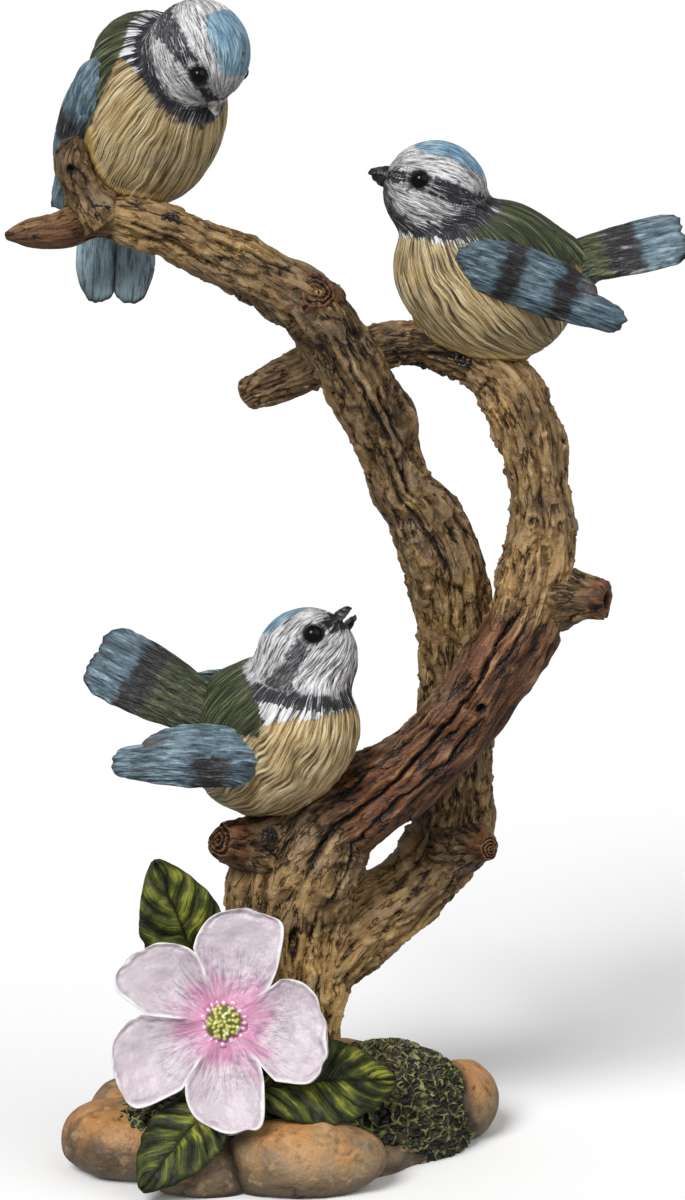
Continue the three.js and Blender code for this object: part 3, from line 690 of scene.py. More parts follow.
# Each is an ellipsoid: its middle, its half sizes and its turn in degrees about the vertical.
dome = {"at": [0, 0, 2], "size": [46, 34, 13], "turn": 22}
pebbles = [
    {"at": [-38.5, -19, 8.5], "size": [18.5, 14.5, 10.5], "turn": -20},
    {"at": [6, -32.5, 7.5], "size": [20.5, 12.5, 10.5], "turn": 4},
    {"at": [44, 12, 8.5], "size": [12, 15, 10.5], "turn": -12},
    {"at": [-18, -32, 4.5], "size": [14, 10.5, 8], "turn": 12},
    {"at": [-38, 10, 6], "size": [12, 14, 8], "turn": 15},
    {"at": [-20, 27, 8], "size": [17, 12.5, 9.5], "turn": -20},
    {"at": [15, 32, 8.5], "size": [18, 11, 10], "turn": 10},
]
mossMounds = [
    {"at": [24, 0, 7], "size": [27, 19.5, 21], "turn": 25},
    {"at": [-1, -12, 6], "size": [27, 18.5, 20], "turn": 0},
    {"at": [-27, -14, 9], "size": [14, 12, 10], "turn": 0},
    {"at": [-8, 12, 8], "size": [26, 18, 15], "turn": 20},
]
mossTuft = {"at": [-35, -22, 12.5], "size": [12.5, 9.5, 7.2], "turn": -20}
moundGrids = {  # rings, points in a ring, and how far down the ball they go
    "pebble": (40, 72, 1.0), "dome": (44, 110, 0.58), "bigMoss": (104, 176, 0.68), "moss": (56, 92, 0.68),
}


# Turns points about the vertical by degrees.
def turned(points, degrees):
    cosine, sine = np.cos(np.radians(degrees)), np.sin(np.radians(degrees))
    x, y, z = np.moveaxis(points, -1, 0)
    return asPoints(x * cosine - y * sine, x * sine + y * cosine, z)


# Directions of a ball, pole up, rows by columns, down to a share of the way to the lower pole.
def ballGrid(rows, around, share=1.0):
    down = np.linspace(0, np.pi * share, rows + 2)[1:-1, None]
    turn = np.linspace(0, 2 * np.pi, around, endpoint=False)[None, :]
    return asPoints(np.sin(down) * np.cos(turn), np.sin(down) * np.sin(turn), np.cos(down))


# Rings of an ellipsoid, turned and set in its place.
def moundRings(mound, grid):
    return turned(ballGrid(*grid) * mound["size"], mound["turn"]) + mound["at"]


# How far outside an ellipsoid each point is, roughly.
def clearOfMound(mound, points):
    local = turned(points - mound["at"], -mound["turn"]) / mound["size"]
    return (np.linalg.norm(local, axis=-1) - 1) * min(mound["size"])


# Rings raised by a height, and flat where they would go under the ground.
def onGround(rings, height):
    rings = raised(rings, height)
    rings[..., 2] = np.maximum(rings[..., 2], 0)
    return rings


# Pebbles are lumpy ellipsoids with a fine split each, darker along the split, with painted shade where they
# near each other, the moss, the front stem and the ground. Moss is ellipsoids with strands where either of
# two noises crosses nought.
def makeBase(spines):
    node = ("branches_and_stone_base", "bark_and_stone")
    stones = []
    for number, pebble in enumerate(pebbles):
        rings = moundRings(pebble, moundGrids["pebble"])
        lumps = noise(rings / 13, 20 + number) * 1.1 + noise(rings / 4.5, 30 + number) * 0.3
        split = crease(noise(rings / [16, 16, 5], 40 + number), 0.03)
        rings = onGround(rings, lumps + 0.3 - 0.45 * split)
        gaps = [clearOfMound(other, rings) for other in pebbles + mossMounds if other is not pebble]
        gaps.append(clearOf(spines["front"], rings))
        near = np.exp(-np.clip(np.min(gaps, axis=0), 0, None) / 1.6)
        # Painted shade where a pebble nears the others, the moss or the front stem and along the ground, with
        # darker splits.
        dirt = near + 0.6 * split + bell(rings[..., 2], 0, 1.2)
        stones.append(closed(rings, dirt=dirt, high=rings[..., 2] / 18))
    rings = moundRings(dome, moundGrids["dome"])
    rings = onGround(rings, noise(rings / 6, 50) * 0.9 + noise(rings / 2.2, 51) * 0.3)
    stones.append(closed(rings, dirt=0.5 + 0.4 * noise(rings / 3, 52), high=0))
    addPiece("pebbles", stones, finish("stone_paint", stoneLook, {}), *node)
    cushions = []
    for number, mound in enumerate([*mossMounds, mossTuft]):
        rings = moundRings(mound, moundGrids["bigMoss" if number == 0 else "moss"])
        warp = noise(rings / 5, 60)[..., None] * [2.2, -1.6, 1.4]
        net = noise((rings + warp) / 3.6, 61 + number)
        curls = noise((rings - warp) / 3.1, 71 + number)
        strand = np.maximum(crease(net, 0.3), 0.85 * crease(curls, 0.26))
        rings = onGround(rings, 1.3 * strand + 1.0 * noise(rings / 8, 66) - 0.7)
        cushions.append(closed(rings, strand=strand, high=rings[..., 2] / 26))
    addPiece("moss", cushions, finish("moss_paint", mossLook, {"Roughness": 0.5}), *node)


# Brown pebbles, orange on top, darker along their splits, with painted shade where they meet each other, the
# moss, the stem and the ground.
def stoneLook(skin):
    body = (skin.grain(16, 3.0) + 0.2 * (skin.grain(1.6, 4.0) - 0.5)).ramp(
        (0.3, (88, 70, 50)), (0.5, (124, 102, 74)), (0.7, (152, 130, 100)))
    warm = (0.8 * skin.grain(11, 4.0) + 0.34 * skin.attribute("high")).step(0.52, 0.76)
    body = body.towards((196, 138, 76), warm * 0.7)
    body = body.towards((122, 104, 82), (1.0 - skin.attribute("high")).step(0.5, 0.85) * 0.7)
    body = body.towards((84, 62, 40), skin.grain(2.6, 4.0).step(0.52, 0.7) * 0.5)
    body = body.towards((204, 166, 122), skin.grain(3.5, 4.0).step(0.56, 0.7) * 0.45)
    # Painted shade where pebbles meet each other, the moss, the stem and the ground, darker splits, and
    # random dirt on the dome.
    body = body.towards((36, 25, 13), skin.attribute("dirt").step(0.1, 0.95) * 0.85)
    roughness = 0.42 + 0.2 * skin.grain(5, 2.0)
    return {"Base Color": body, "Roughness": roughness, "Normal": skin.grain(1.4, 4.0).bump(0.5)}


# Strands of light green over dark hollows, with a finer net of threads between the modelled ones.
def mossLook(skin):
    threads = skin.net(3.6, 0.17) * (0.6 + 0.8 * skin.grain(6, 2.0))
    height = skin.attribute("strand") * 0.4 + threads * 0.55 + 0.3 * (skin.grain(1.0, 3.0) - 0.5)
    green = height.ramp(
        (0.08, (11, 11, 6)), (0.35, (32, 32, 15)), (0.6, (72, 71, 36)), (0.9, (132, 134, 82)))
    green = green.towards((78, 64, 46), skin.grain(8, 2.0).step(0.52, 0.7) * 0.5)
    return {"Base Color": green, "Normal": height.bump(1.4)}


# Blades: wings, tails, petals and leaves. Across is -1 to 1 over the width, share 0 to 1 along the length.

# Start, length and the directions along, aside and out of a blade from its root to its tip.
def axesAlong(root, tip, face):
    start = np.array(root, float)
    whole = np.array(tip, float) - start
    length = np.linalg.norm(whole)
    along = whole / length
    side = unit(np.cross(unit(face), along))
    return start, length, along, side, np.cross(along, side)


# A circle of points at every row: its share along the blade, and its place across and over the middle.
def bladeGrid(rows, around):
    share = np.linspace(0, 1, rows)[:, None]
    angle = np.linspace(0, 2 * np.pi, around, endpoint=False)[None, :]
    return share + 0 * angle, np.cos(angle) + 0 * share, np.sin(angle) + 0 * share


# Birds

birdSizes = {
    "belly": [17.5, 16.5, 17.2], "breast": [14.5, 14.8, 15], "nape": [14, 13, 12.5],
    "rump": [12, 9.5, 8.5], "vent": [11.5, 10.5, 10.5], "head": [13, 12, 12.8],
    "bodyBlend": 8, "neckBlend": 4, "middle": 0.42,
    "beak": {"length": 7.5, "radius": 3.5, "ahead": 9.8, "up": -0.6},
    "tailThickness": 2.9,
    "headRadius": 12.5, "bodyRadius": 16.0, "paintRadius": 17,
    "stroke": {"pitch": 0.62, "length": 4.6, "depth": 0.2},
    "rows": 160, "around": 240,
}
# breast, nape and vent are [ahead, up] from the belly, and the eye is [ahead, aside, up, radius] from the
# head's centre. gape is in degrees, a larger blunt gives a sharper beak, and horn, whiter and lighter shift
# a tone. A claw is [stem, millimetres along it, degrees round it, millimetres clear of it].
# The paint is in units of the head's and the body's radius. cheek and cap are [ahead, up] along their lower
# edges, bib is [up, half width] of the dark throat, and stripe is [ahead, up, half width, strength]. collar
# and fringe are [ahead, up, level] of the planes that bound them, and collarRing darkens the whole neck.
# backFront is [up, ahead] of the green's front edge, backUnder is [slope, level] of its lower edge. Dark
# bands lie across the wings, and bandsBelow is how far under a wing's middle line they start.
birds = [
    {
        "name": "bird_right", "breast": [10, 6.5], "nape": [-3, 9], "vent": [-8, -5.5],
        "belly": [52.7, 6, 224.1], "ahead": [-0.95, -0.26, -0.05], "back": [0, -0.1, 1],
        "head": [38.8, 3, 248.8], "look": [-0.945, 0.07, 0.318], "crown": [0.325, 0.2, 0.92],
        "tail": {"root": [72, 8, 230], "tip": [101.2, 10, 236.6], "face": [-0.12, -0.62, 0.77], "width": 17,
                 "band": [0.33, 0.6], "fork": 0.4, "corner": 2.2, "lighter": 0.12},
        "wings": [
            {"shoulder": [46, -9.5, 233.5], "tip": [86.4, -9, 219], "face": [0.1, -0.97, 0.25], "width": 7.2,
             "bandsBelow": -20, "lighter": -0.1},
            {"shoulder": [54, 20, 234], "tip": [82, 25, 226], "face": [0.3, 0.92, 0.3], "width": 6.5,
             "bandsBelow": -20, "lighter": -0.1},
        ],
        "gape": 3, "blunt": 0.38, "claws": [["front", 233.5, 40, 0.2]], "seed": 101,
        "horn": 0.12, "whiter": -0.03, "collarRing": 0.0,
        "eye": [4.2, 9.9, 0.6, 2.5], "wingBands": [[0.27, 0.075], [0.61, 0.07]],
        "cap": [[-0.95, 1.1], [-0.78, 0.55], [-0.5, 0.58], [-0.2, 0.63], [0.42, 0.63], [0.66, 0.64],
                [0.85, 1.1]],
        "cheek": [[-1.1, 0.4], [-1.02, 0.23], [-0.69, -0.15], [-0.36, -0.5], [-0.01, -0.66], [0.33, -0.72],
                  [0.59, -0.6], [0.76, -0.42], [0.93, -0.2], [1.05, 0.0]],
        "bib": [[-1.0, 0.65], [-0.78, 0.5], [-0.6, 0.42], [-0.35, 0.3], [-0.1, 0.15], [0.0, -0.1]],
        "stripe": [[-1.2, 0.05, 0.2, 0.85], [-0.75, 0.0, 0.19, 0.8], [-0.35, -0.01, 0.18, 0.85],
                   [0.1, 0.03, 0.17, 1.0], [0.4, 0.04, 0.17, 1.0], [0.72, 0.0, 0.1, 1.0],
                   [0.95, -0.03, 0.1, 1.0]],
        "collar": [-0.33, 1.0, 0.94], "fringe": [-0.33, 1.0, 0.88], "fringeWhite": 0.75,
        "backFront": [[0.9, 0.26], [1.05, 0.2], [1.13, -0.04], [1.19, -0.52]],
        "backUnder": [0.71, 0.95],
    },
    {
        "name": "bird_lower_left", "breast": [10.5, 8.5], "nape": [-3, 9], "vent": [-9, -9],
        "belly": [-3.2, -9, 110], "ahead": [0.55, -0.8, -0.22], "back": [0.25, 0.05, 0.95],
        "head": [6.6, -12, 132.6], "look": [0.66, 0.24, 0.71], "crown": [-0.75, 0.14, 0.64],
        "tail": {"root": [-21, -2, 117.5], "tip": [-47, 5, 130], "face": [0.1, -0.85, 0.5], "width": 19.5,
                 "band": [0.42, 0.62], "fork": 0.3, "corner": 3.0, "lighter": 0.0},
        "wings": [
            {"shoulder": [-7, -25.5, 109.5], "tip": [-42, -26, 111], "face": [-0.1, -0.85, 0.5], "width": 8,
             "bandsBelow": 0, "lighter": 0.0},
            {"shoulder": [-4, 8, 119], "tip": [-34, 14, 117], "face": [-0.2, 0.9, 0.4], "width": 6.5,
             "bandsBelow": 0, "lighter": 0.0},
        ],
        "gape": 20, "blunt": 0.45, "claws": [["leftKnot", 12, -45, 2.8]], "seed": 102,
        "horn": 0.2, "whiter": -0.12, "collarRing": 0.0,
        "eye": [4.8, 9.9, 2.8, 2.6], "wingBands": [[0.3, 0.17]],
        "cap": [[-0.3, 1.1], [-0.1, 0.87], [0.22, 0.84], [0.48, 0.76], [0.77, 0.65], [0.9, 1.0]],
        "cheek": [[-1.05, 0.5], [-0.94, 0.06], [-0.79, -0.25], [-0.68, -0.55], [-0.51, -0.83], [-0.2, -0.92],
                  [0.35, -0.9], [0.8, -0.75]],
        "bib": [[-1.0, 0.0], [1.0, 0.0]],
        "stripe": [[-1.1, 0.05, 0.3, 0.8], [-0.76, 0.07, 0.26, 0.7], [-0.48, 0.12, 0.2, 0.65],
                   [-0.14, 0.18, 0.17, 0.65], [0.1, 0.25, 0.15, 0.8], [0.4, 0.22, 0.13, 1.0],
                   [0.7, 0.12, 0.12, 1.0], [0.85, 0.05, 0.16, 1.0], [1.1, 0.0, 0.3, 1.0]],
        "collar": [-0.33, 1.0, 0.76], "fringe": [-0.62, 1.0, 0.43], "fringeWhite": 0.9,
        "backFront": [[0.3, 0.14], [0.54, 0.1], [0.67, -0.05], [0.79, -0.32], [0.95, -0.72], [1.2, -0.9]],
        "backUnder": [0.44, 0.24],
    },
    {
        "name": "bird_top_left", "breast": [10, 6.5], "nape": [4, 17], "vent": [-8, -6],
        "belly": [-32.9, 4, 264], "ahead": [0.6, -0.75, 0.2], "back": [-0.5, 0.55, 0.65],
        "head": [-19.6, -12, 285.2], "look": [0.3, -0.227, -0.923], "crown": [0.797, -0.472, 0.376],
        # This tail's lighter tone is painted light, brightening it where the branch shades it.
        "tail": {"root": [-41, 17, 250], "tip": [-42.1, 10, 220.8], "face": [0, -1, -0.15], "width": 19.5,
                 "band": [-0.4, -0.3], "fork": 1.1, "corner": 5.0, "lighter": 0.52},
        "wings": [
            {"shoulder": [-43.5, -3, 280], "tip": [-57.5, 9, 245], "face": [-0.72, -0.68, 0.12], "width": 7,
             "bandsBelow": -20, "lighter": 0.05},
            {"shoulder": [-31, 18, 279], "tip": [-32, 28, 245], "face": [0.7, 0.7, 0.1], "width": 6.5,
             "bandsBelow": -20, "lighter": 0.05},
        ],
        "gape": 2, "blunt": 0.85, "claws": [["rear", 279, -50, 0.2], ["rear", 295, -46, 0.2]], "seed": 103,
        "horn": 0.85, "whiter": 0.15, "collarRing": 1.0,
        "eye": [6.9, 9.3, 3.8, 2.15], "wingBands": [[0.45, 0.1]],
        "cap": [[-0.75, 1.15], [-0.52, 0.72], [-0.26, 0.7], [0.15, 0.76], [0.47, 0.71], [0.73, 0.68],
                [0.85, 1.1]],
        "cheek": [[-0.93, -0.5], [-0.04, -0.52], [0.35, -0.52], [0.72, -0.44], [0.95, -0.3], [1.03, -0.1]],
        "bib": [[-1.0, 0.0], [1.0, 0.0]],
        "stripe": [[-1.1, -0.4, 0.4, 0.75], [-0.9, -0.36, 0.38, 0.75], [-0.38, 0.02, 0.28, 0.7],
                   [0.03, 0.2, 0.18, 0.75], [0.3, 0.27, 0.14, 0.9], [0.55, 0.27, 0.13, 1.0],
                   [0.8, 0.2, 0.09, 1.0], [1.05, 0.06, 0.1, 1.0]],
        "collar": [1.0, -0.32, 1.34], "fringe": [1.0, 0.35, 1.37], "fringeWhite": 0.55,
        "backFront": [[0.5, 1.08], [0.6, 1.12], [0.7, 1.24], [0.95, 1.32], [1.16, 1.3]],
        "backUnder": [0.35, 0.18],
    },
]
# A wing's layers run from one share of its length to another, each with its drop and lift and its share of
# the width. The nearer wing has coverts on top.
flightLayers = [
    {"from": 0, "to": 1, "drop": 2.2, "lift": -0.6, "share": 0.7, "halfThickness": 1.8},
    {"from": 0, "to": 0.8, "drop": -2.4, "lift": 0.2, "share": 0.86, "halfThickness": 2},
]
coverts = {"from": -0.06, "to": 0.44, "drop": -0.4, "lift": 0.6, "share": 0.95, "halfThickness": 2.5}


# Ahead, left and up, from a heading and a rough upward direction.
def axesOf(ahead, up):
    x = unit(ahead)
    left = unit(np.cross(up, x))
    return np.stack([x, left, np.cross(x, left)])


# The ellipsoids that make a bird: the body's lie along its heading, the head's along its look.
def birdMasses(bird):
    body = axesOf(bird["ahead"], bird["back"])
    skull = axesOf(bird["look"], bird["crown"])
    belly = np.array(bird["belly"], float)
    places = {"belly": [0, -0.8], "breast": bird["breast"], "nape": bird["nape"], "rump": [-15, 4],
              "vent": bird["vent"]}
    masses = []
    for name, (ahead, up) in places.items():
        at = belly + body[0] * ahead + body[2] * up
        masses.append({"at": at, "size": birdSizes[name], "axes": body, "soft": birdSizes["bodyBlend"]})
    soft = birdSizes["neckBlend"]
    masses.append({"at": bird["head"], "size": birdSizes["head"], "axes": skull, "soft": soft})
    return masses


# Distance from the blended masses: the least of the ellipsoids' distances, softened where two are near.
def bodyField(masses, points):
    near = None
    for mass in masses:
        local = (points - mass["at"]) @ mass["axes"].T / mass["size"]
        far = np.linalg.norm(local, axis=-1)
        steep = np.linalg.norm(local / mass["size"], axis=-1)
        gap = far * (far - 1) / np.maximum(steep, 1e-6)
        if near is None:
            near = gap
        else:
            mixed = np.clip(1 - np.abs(near - gap) / mass["soft"], 0, 1)
            near = np.minimum(near, gap) - mixed * mixed * mass["soft"] / 4
    return near


# A ball pushed out from the breast until it meets the masses, found by halving. Its rows are then spread
# evenly down each meridian.
def bodyRings(masses, middle, pole, rows, around):
    nearest, farthest, halvings = 2.0, 50.0, 18
    turn = axesOf(pole, [0.3, 0.2, 0.1])
    ball = ballGrid(rows, around)
    rays = ball[..., 2:3] * turn[0] + ball[..., 0:1] * turn[1] + ball[..., 1:2] * turn[2]
    inside = np.full(rays.shape[:2], nearest)
    outside = np.full(rays.shape[:2], farthest)
    for _ in range(halvings):
        reach = (inside + outside) / 2
        within = bodyField(masses, middle + rays * reach[..., None]) < 0
        inside = np.where(within, reach, inside)
        outside = np.where(within, outside, reach)
    rings = middle + rays * inside[..., None]
    steps = np.linalg.norm(np.diff(rings, axis=0), axis=-1)
    run = np.concatenate([np.zeros((1, around)), np.cumsum(steps, axis=0)])
    even = np.linspace(0, 1, rows)
    spread = np.empty_like(rings)
    for column in range(around):
        wanted = even * run[-1, column]
        for axis in range(3):
            spread[:, column, axis] = np.interp(wanted, run[:, column], rings[:, column, axis])
    return spread


# Where points lie in the plumage, in millimetres: [two round the way the feathers run, one along it]. On the
# head they run back from the beak, on the body from the neck to the vent.
def featherPlaces(bird, points):
    skull = axesOf(bird["look"], bird["crown"])
    body = axesOf(bird["ahead"], bird["back"])
    head = np.array(bird["head"], float)
    vent = np.array(bird["belly"], float) - body[0] * 14 - body[2] * 12
    sway = noise(points / 8, 5) * 0.6 + noise(points / 2.5, 6) * 0.12
    places = []
    downward = axesOf(vent - head, bird["crown"])
    for axes, radius in ((skull, birdSizes["headRadius"]), (downward, birdSizes["bodyRadius"])):
        local = (points - head) @ axes.T
        off = np.linalg.norm(local[..., 1:], axis=-1)
        turn = np.arctan2(local[..., 2], local[..., 1]) + sway / radius
        places.append(asPoints(np.cos(turn), np.sin(turn), np.arctan2(off, local[..., 0])) * radius)
    onBody = smooth(np.linalg.norm(points - head, axis=-1), 13.5, 16)
    return places, onBody


# Feather strokes: noise that is long the way the feathers run and narrow across it.
def featherStrokes(bird, places, onBody):
    stroke = birdSizes["stroke"]
    grain = [stroke["pitch"], stroke["pitch"], stroke["length"]]
    onHead, below = (noise(place / grain, bird["seed"]) for place in places)
    return np.tanh(2.6 * (onHead * (1 - onBody) + below * onBody))


# Where the colours lie. On the head: a pale blue cap, a dark stripe through the eye, and below the cheek a
# dark collar that runs from the nape to a bib, with a white fringe under it. Then green over the back.
def plumageMasks(bird, points, edge):
    skull = axesOf(bird["look"], bird["crown"])
    body = axesOf(np.array(bird["belly"], float) - bird["tail"]["root"], bird["back"])
    onHead = (points - bird["head"]) @ skull.T / birdSizes["headRadius"]
    ahead, aside, up = np.moveaxis(onHead, -1, 0)
    onBody = (points - bird["belly"]) @ body.T / birdSizes["paintRadius"]
    bodyAhead, bodyUp = onBody[..., 0], onBody[..., 2]
    ragged = 0.06 * edge

    def curve(name, place, column=1):
        table = np.array(bird[name])
        return np.interp(place, table[:, 0], table[:, column])

    def beyond(name):
        inAhead, inUp, level = bird[name]
        return smooth(bodyAhead * inAhead + bodyUp * inUp - level + ragged, -0.03, 0.04)

    near = 1 - smooth(np.linalg.norm(onHead, axis=-1) + ragged, 1.22, 1.34)
    head = near * smooth(up - curve("cheek", ahead) - 1.4 * ragged, -0.12, 0.05)
    bib = smooth(curve("bib", up) - np.abs(aside) + 1.4 * ragged, -0.06, 0.1) * (ahead > 0)
    head = head * (1 - bib)
    cap = head * smooth(up - curve("cap", ahead) + ragged, -0.04, 0.05)
    width = curve("stripe", ahead, 2)
    stripe = 1 - smooth(np.abs(up - curve("stripe", ahead)) + 1.3 * ragged, width - 0.04, width + 0.07)
    stripe = stripe * curve("stripe", ahead, 3) * head * (1 - cap)
    slope, level = bird["backUnder"]
    back = smooth(curve("backFront", bodyUp) - bodyAhead + ragged, -0.03, 0.05)
    over = smooth(bodyUp - slope * bodyAhead - level + 0.6 * ragged, -0.05, 0.05)
    back = (1 - head) * back * over
    rest = (1 - head) * (1 - back)
    collar = rest * np.maximum(beyond("collar"), near * bird["collarRing"])
    rest = rest * (1 - collar)
    above = beyond("fringe")
    fringe = rest * above * bird["fringeWhite"]
    belly = rest * (1 - above)
    return {"head": head, "cap": cap, "stripe": stripe, "back": back, "fringe": fringe, "belly": belly}


# Colours from the grooves between the strokes to their crests
plumagePaints = {
    "white": [(0.08, (28, 26, 30)), (0.3, (122, 120, 121)), (0.52, (200, 198, 200)),
              (0.85, (242, 241, 243))],
    "blue": [(0.05, (56, 84, 104)), (0.4, (102, 142, 168)), (0.7, (138, 174, 194)), (1.0, (200, 214, 222))],
    "dark": [(0.1, (7, 7, 10)), (0.58, (28, 28, 36)), (0.74, (88, 88, 96)), (0.92, (200, 198, 202))],
    "cream": [(0.08, (40, 30, 17)), (0.3, (114, 95, 62)), (0.55, (189, 167, 122)), (0.92, (238, 219, 176))],
    "green": [(0.1, (14, 16, 8)), (0.5, (48, 55, 28)), (0.75, (77, 85, 50)), (0.97, (140, 144, 114))],
}
flightPaints = {
    "blue": [(0.05, (16, 22, 28)), (0.3, (54, 70, 82)), (0.65, (94, 119, 132)), (1.0, (156, 180, 190))],
    "dark": [(0.1, (8, 7, 9)), (0.6, (28, 26, 28)), (0.85, (60, 58, 62)), (1.0, (150, 150, 152))],
    "green": [(0.1, (14, 16, 8)), (0.5, (42, 48, 24)), (1.0, (96, 102, 66))],
}


# Each patch of plumage has its own ramp from the grooves between the strokes to their crests.
def plumageLook(skin):
    onHead = skin.lengthGrain(0.37, 3.6, 2.0, ("headAside", "headDeep", "headAlong"))
    onBody = skin.lengthGrain(0.37, 3.6, 2.0)
    share = skin.attribute("onBody")
    fine = ((onHead * (1.0 - share) + onBody * share) - 0.5) * 2.4 + 0.5
    stroke = 0.3 * skin.attribute("stroke") + 0.78 * fine - 0.02 + 0.25 * (skin.grain(0.5, 2.0) - 0.5)
    white, blue, dark, cream, green = (stroke.ramp(*stops) for stops in plumagePaints.values())
    cream = cream.towards((206, 170, 102), skin.grain(9, 2.0).step(0.46, 0.64) * 0.25)
    cream = cream.towards((76, 68, 52), skin.grain(11, 3.0).step(0.54, 0.72) * 0.35)

    # A share below 1 paints that share of the strokes, not all of them by that much.
    def inStrokes(name):
        chance = 0.4 * skin.attribute("stroke") + 1.0 * fine - 0.7
        return (skin.attribute(name) + chance).step(0.34, 0.66) * skin.attribute(name).step(0.0, 0.12)

    head = white.towards((128, 112, 96), skin.grain(6, 2.0).step(0.54, 0.7) * 0.3)
    head = head.towards(blue, inStrokes("cap")).towards(dark, inStrokes("stripe"))
    head = head.towards((190, 188, 190), skin.attribute("lid") * 0.3)
    mixed = dark.towards(white, inStrokes("fringe"))
    coat = mixed.towards(head, skin.attribute("head")).towards(cream, skin.attribute("belly"))
    coat = coat.towards(green, skin.attribute("back"))
    coat = coat.towards((206, 170, 96), skin.attribute("flange") * 0.75)
    coat = coat.towards((14, 11, 10), skin.attribute("shade") * 0.9)
    return {"Base Color": coat, "Normal": fine.bump(0.4)}


# The blue flight feathers: fine barbs along them, and dark bands across.
def flightLook(skin):
    barbs = skin.lengthGrain(0.5, 4.0, 2.0)
    stroke = 0.75 * skin.attribute("stroke") + 1.2 * (barbs - 0.5) + 0.15
    stroke = stroke + 0.3 * (skin.grain(0.6, 3.0) - 0.5)
    blue, dark, green = (stroke.ramp(*stops) for stops in flightPaints.values())
    coat = blue.towards((134, 154, 162), skin.grain(5, 3.0).step(0.5, 0.7) * 0.3)
    coat = coat.towards((44, 50, 54), skin.grain(8, 3.0).step(0.5, 0.68) * 0.45)
    band = skin.attribute("band") + 1.3 * (skin.grain(2.6, 5.0) - 0.5) + 0.5 * (barbs - 0.5)
    band = band.step(0.15, 0.95)
    coat = coat.towards(dark, band * skin.attribute("band").step(0.0, 0.15))
    coat = coat.towards(green, skin.attribute("green"))
    coat = coat.towards((92, 54, 34), skin.attribute("rust") * 0.8)
    coat = coat.towards((26, 22, 20), skin.attribute("shade") * 0.7)
    return {"Base Color": coat, "Normal": barbs.bump(0.9)}


# Barbs: lines along a feather, close across it and slightly bowed.
def barbsOf(aside, along, seed):
    bow = noise(asPoints(aside / 4, along / 9, seed), 6)
    lines = noise(asPoints((aside + 0.7 * bow) / 0.46, along / 8, seed), seed % 97)
    return np.tanh(2.2 * lines)


# One layer of a wing, as the solid has it, with barbs along it and a ragged, rounded end.
def wingLayer(wing, layer, bands, seed):
    start = np.array(wing["shoulder"], float)
    whole = np.array(wing["tip"], float) - start
    out = unit(wing["face"])
    down = unit(np.cross(out, whole))
    down = -down if down[2] > 0 else down
    root = start + whole * layer["from"] + down * layer["drop"] + out * layer["lift"]
    tip = start + whole * layer["to"] + down * layer["drop"] * 0.6
    root, length, along, side, up = axesAlong(root, tip, wing["face"])
    share, x, z = bladeGrid(44, 66)
    share = 1 - (1 - share) ** 1.3
    bulge = np.sin(np.pi * np.minimum(0.16 + 0.72 * share, 1))
    half = wing["width"] * layer["share"] * (0.35 + 0.65 * bulge)
    half = half * np.sqrt(1 - np.clip(1 - (1 - share) * length / half, 0, 0.97) ** 2)
    half = half * np.sqrt(1 - np.clip(1 - share * length / half, 0, 0.85) ** 2)
    aside = x * half
    barbs = barbsOf(aside, share * length, seed)
    ragged = noise(asPoints(aside / 1.5, 0, share * length / 14), seed % 91)
    quills = np.abs(np.sin(aside * 1.25 + 0.6 * np.sin(share * 4)))
    thick = layer["halfThickness"] * (1 - 0.5 * share)
    rise = 2.2 * np.sin(np.pi * share) - 1.6 * x * x
    reach = 0.8 * ragged * smooth(share, 0.6, 1)
    steps = (length * share + reach, aside * (1 + 0.04 * ragged), rise - z * thick)
    rings = reached(root, (along, side, up), steps)
    rings = raised(rings, (0.16 * barbs + 0.2 * quills) * (1 - smooth(share, 0.96, 1)))
    place = layer["from"] + (layer["to"] - layer["from"]) * share + 0.03 * ragged
    band = sum(bell(place, middle, width) for middle, width in bands)
    band = band * smooth((rings - start) @ down, wing["bandsBelow"] - 2, wing["bandsBelow"] + 3)
    band = np.clip(1.2 * band, 0, 1)
    stroke = 0.36 + 0.34 * barbs + 0.25 * quills + wing["lighter"]
    rust = bell(share, 1, 0.12) if layer is flightLayers[1] else 0
    shade = bell(share, 1, 0.02)
    places = {"aside": aside, "deep": seed, "along": share * length}
    return closed(rings, stroke=stroke, band=band, shade=shade, rust=rust, **places)


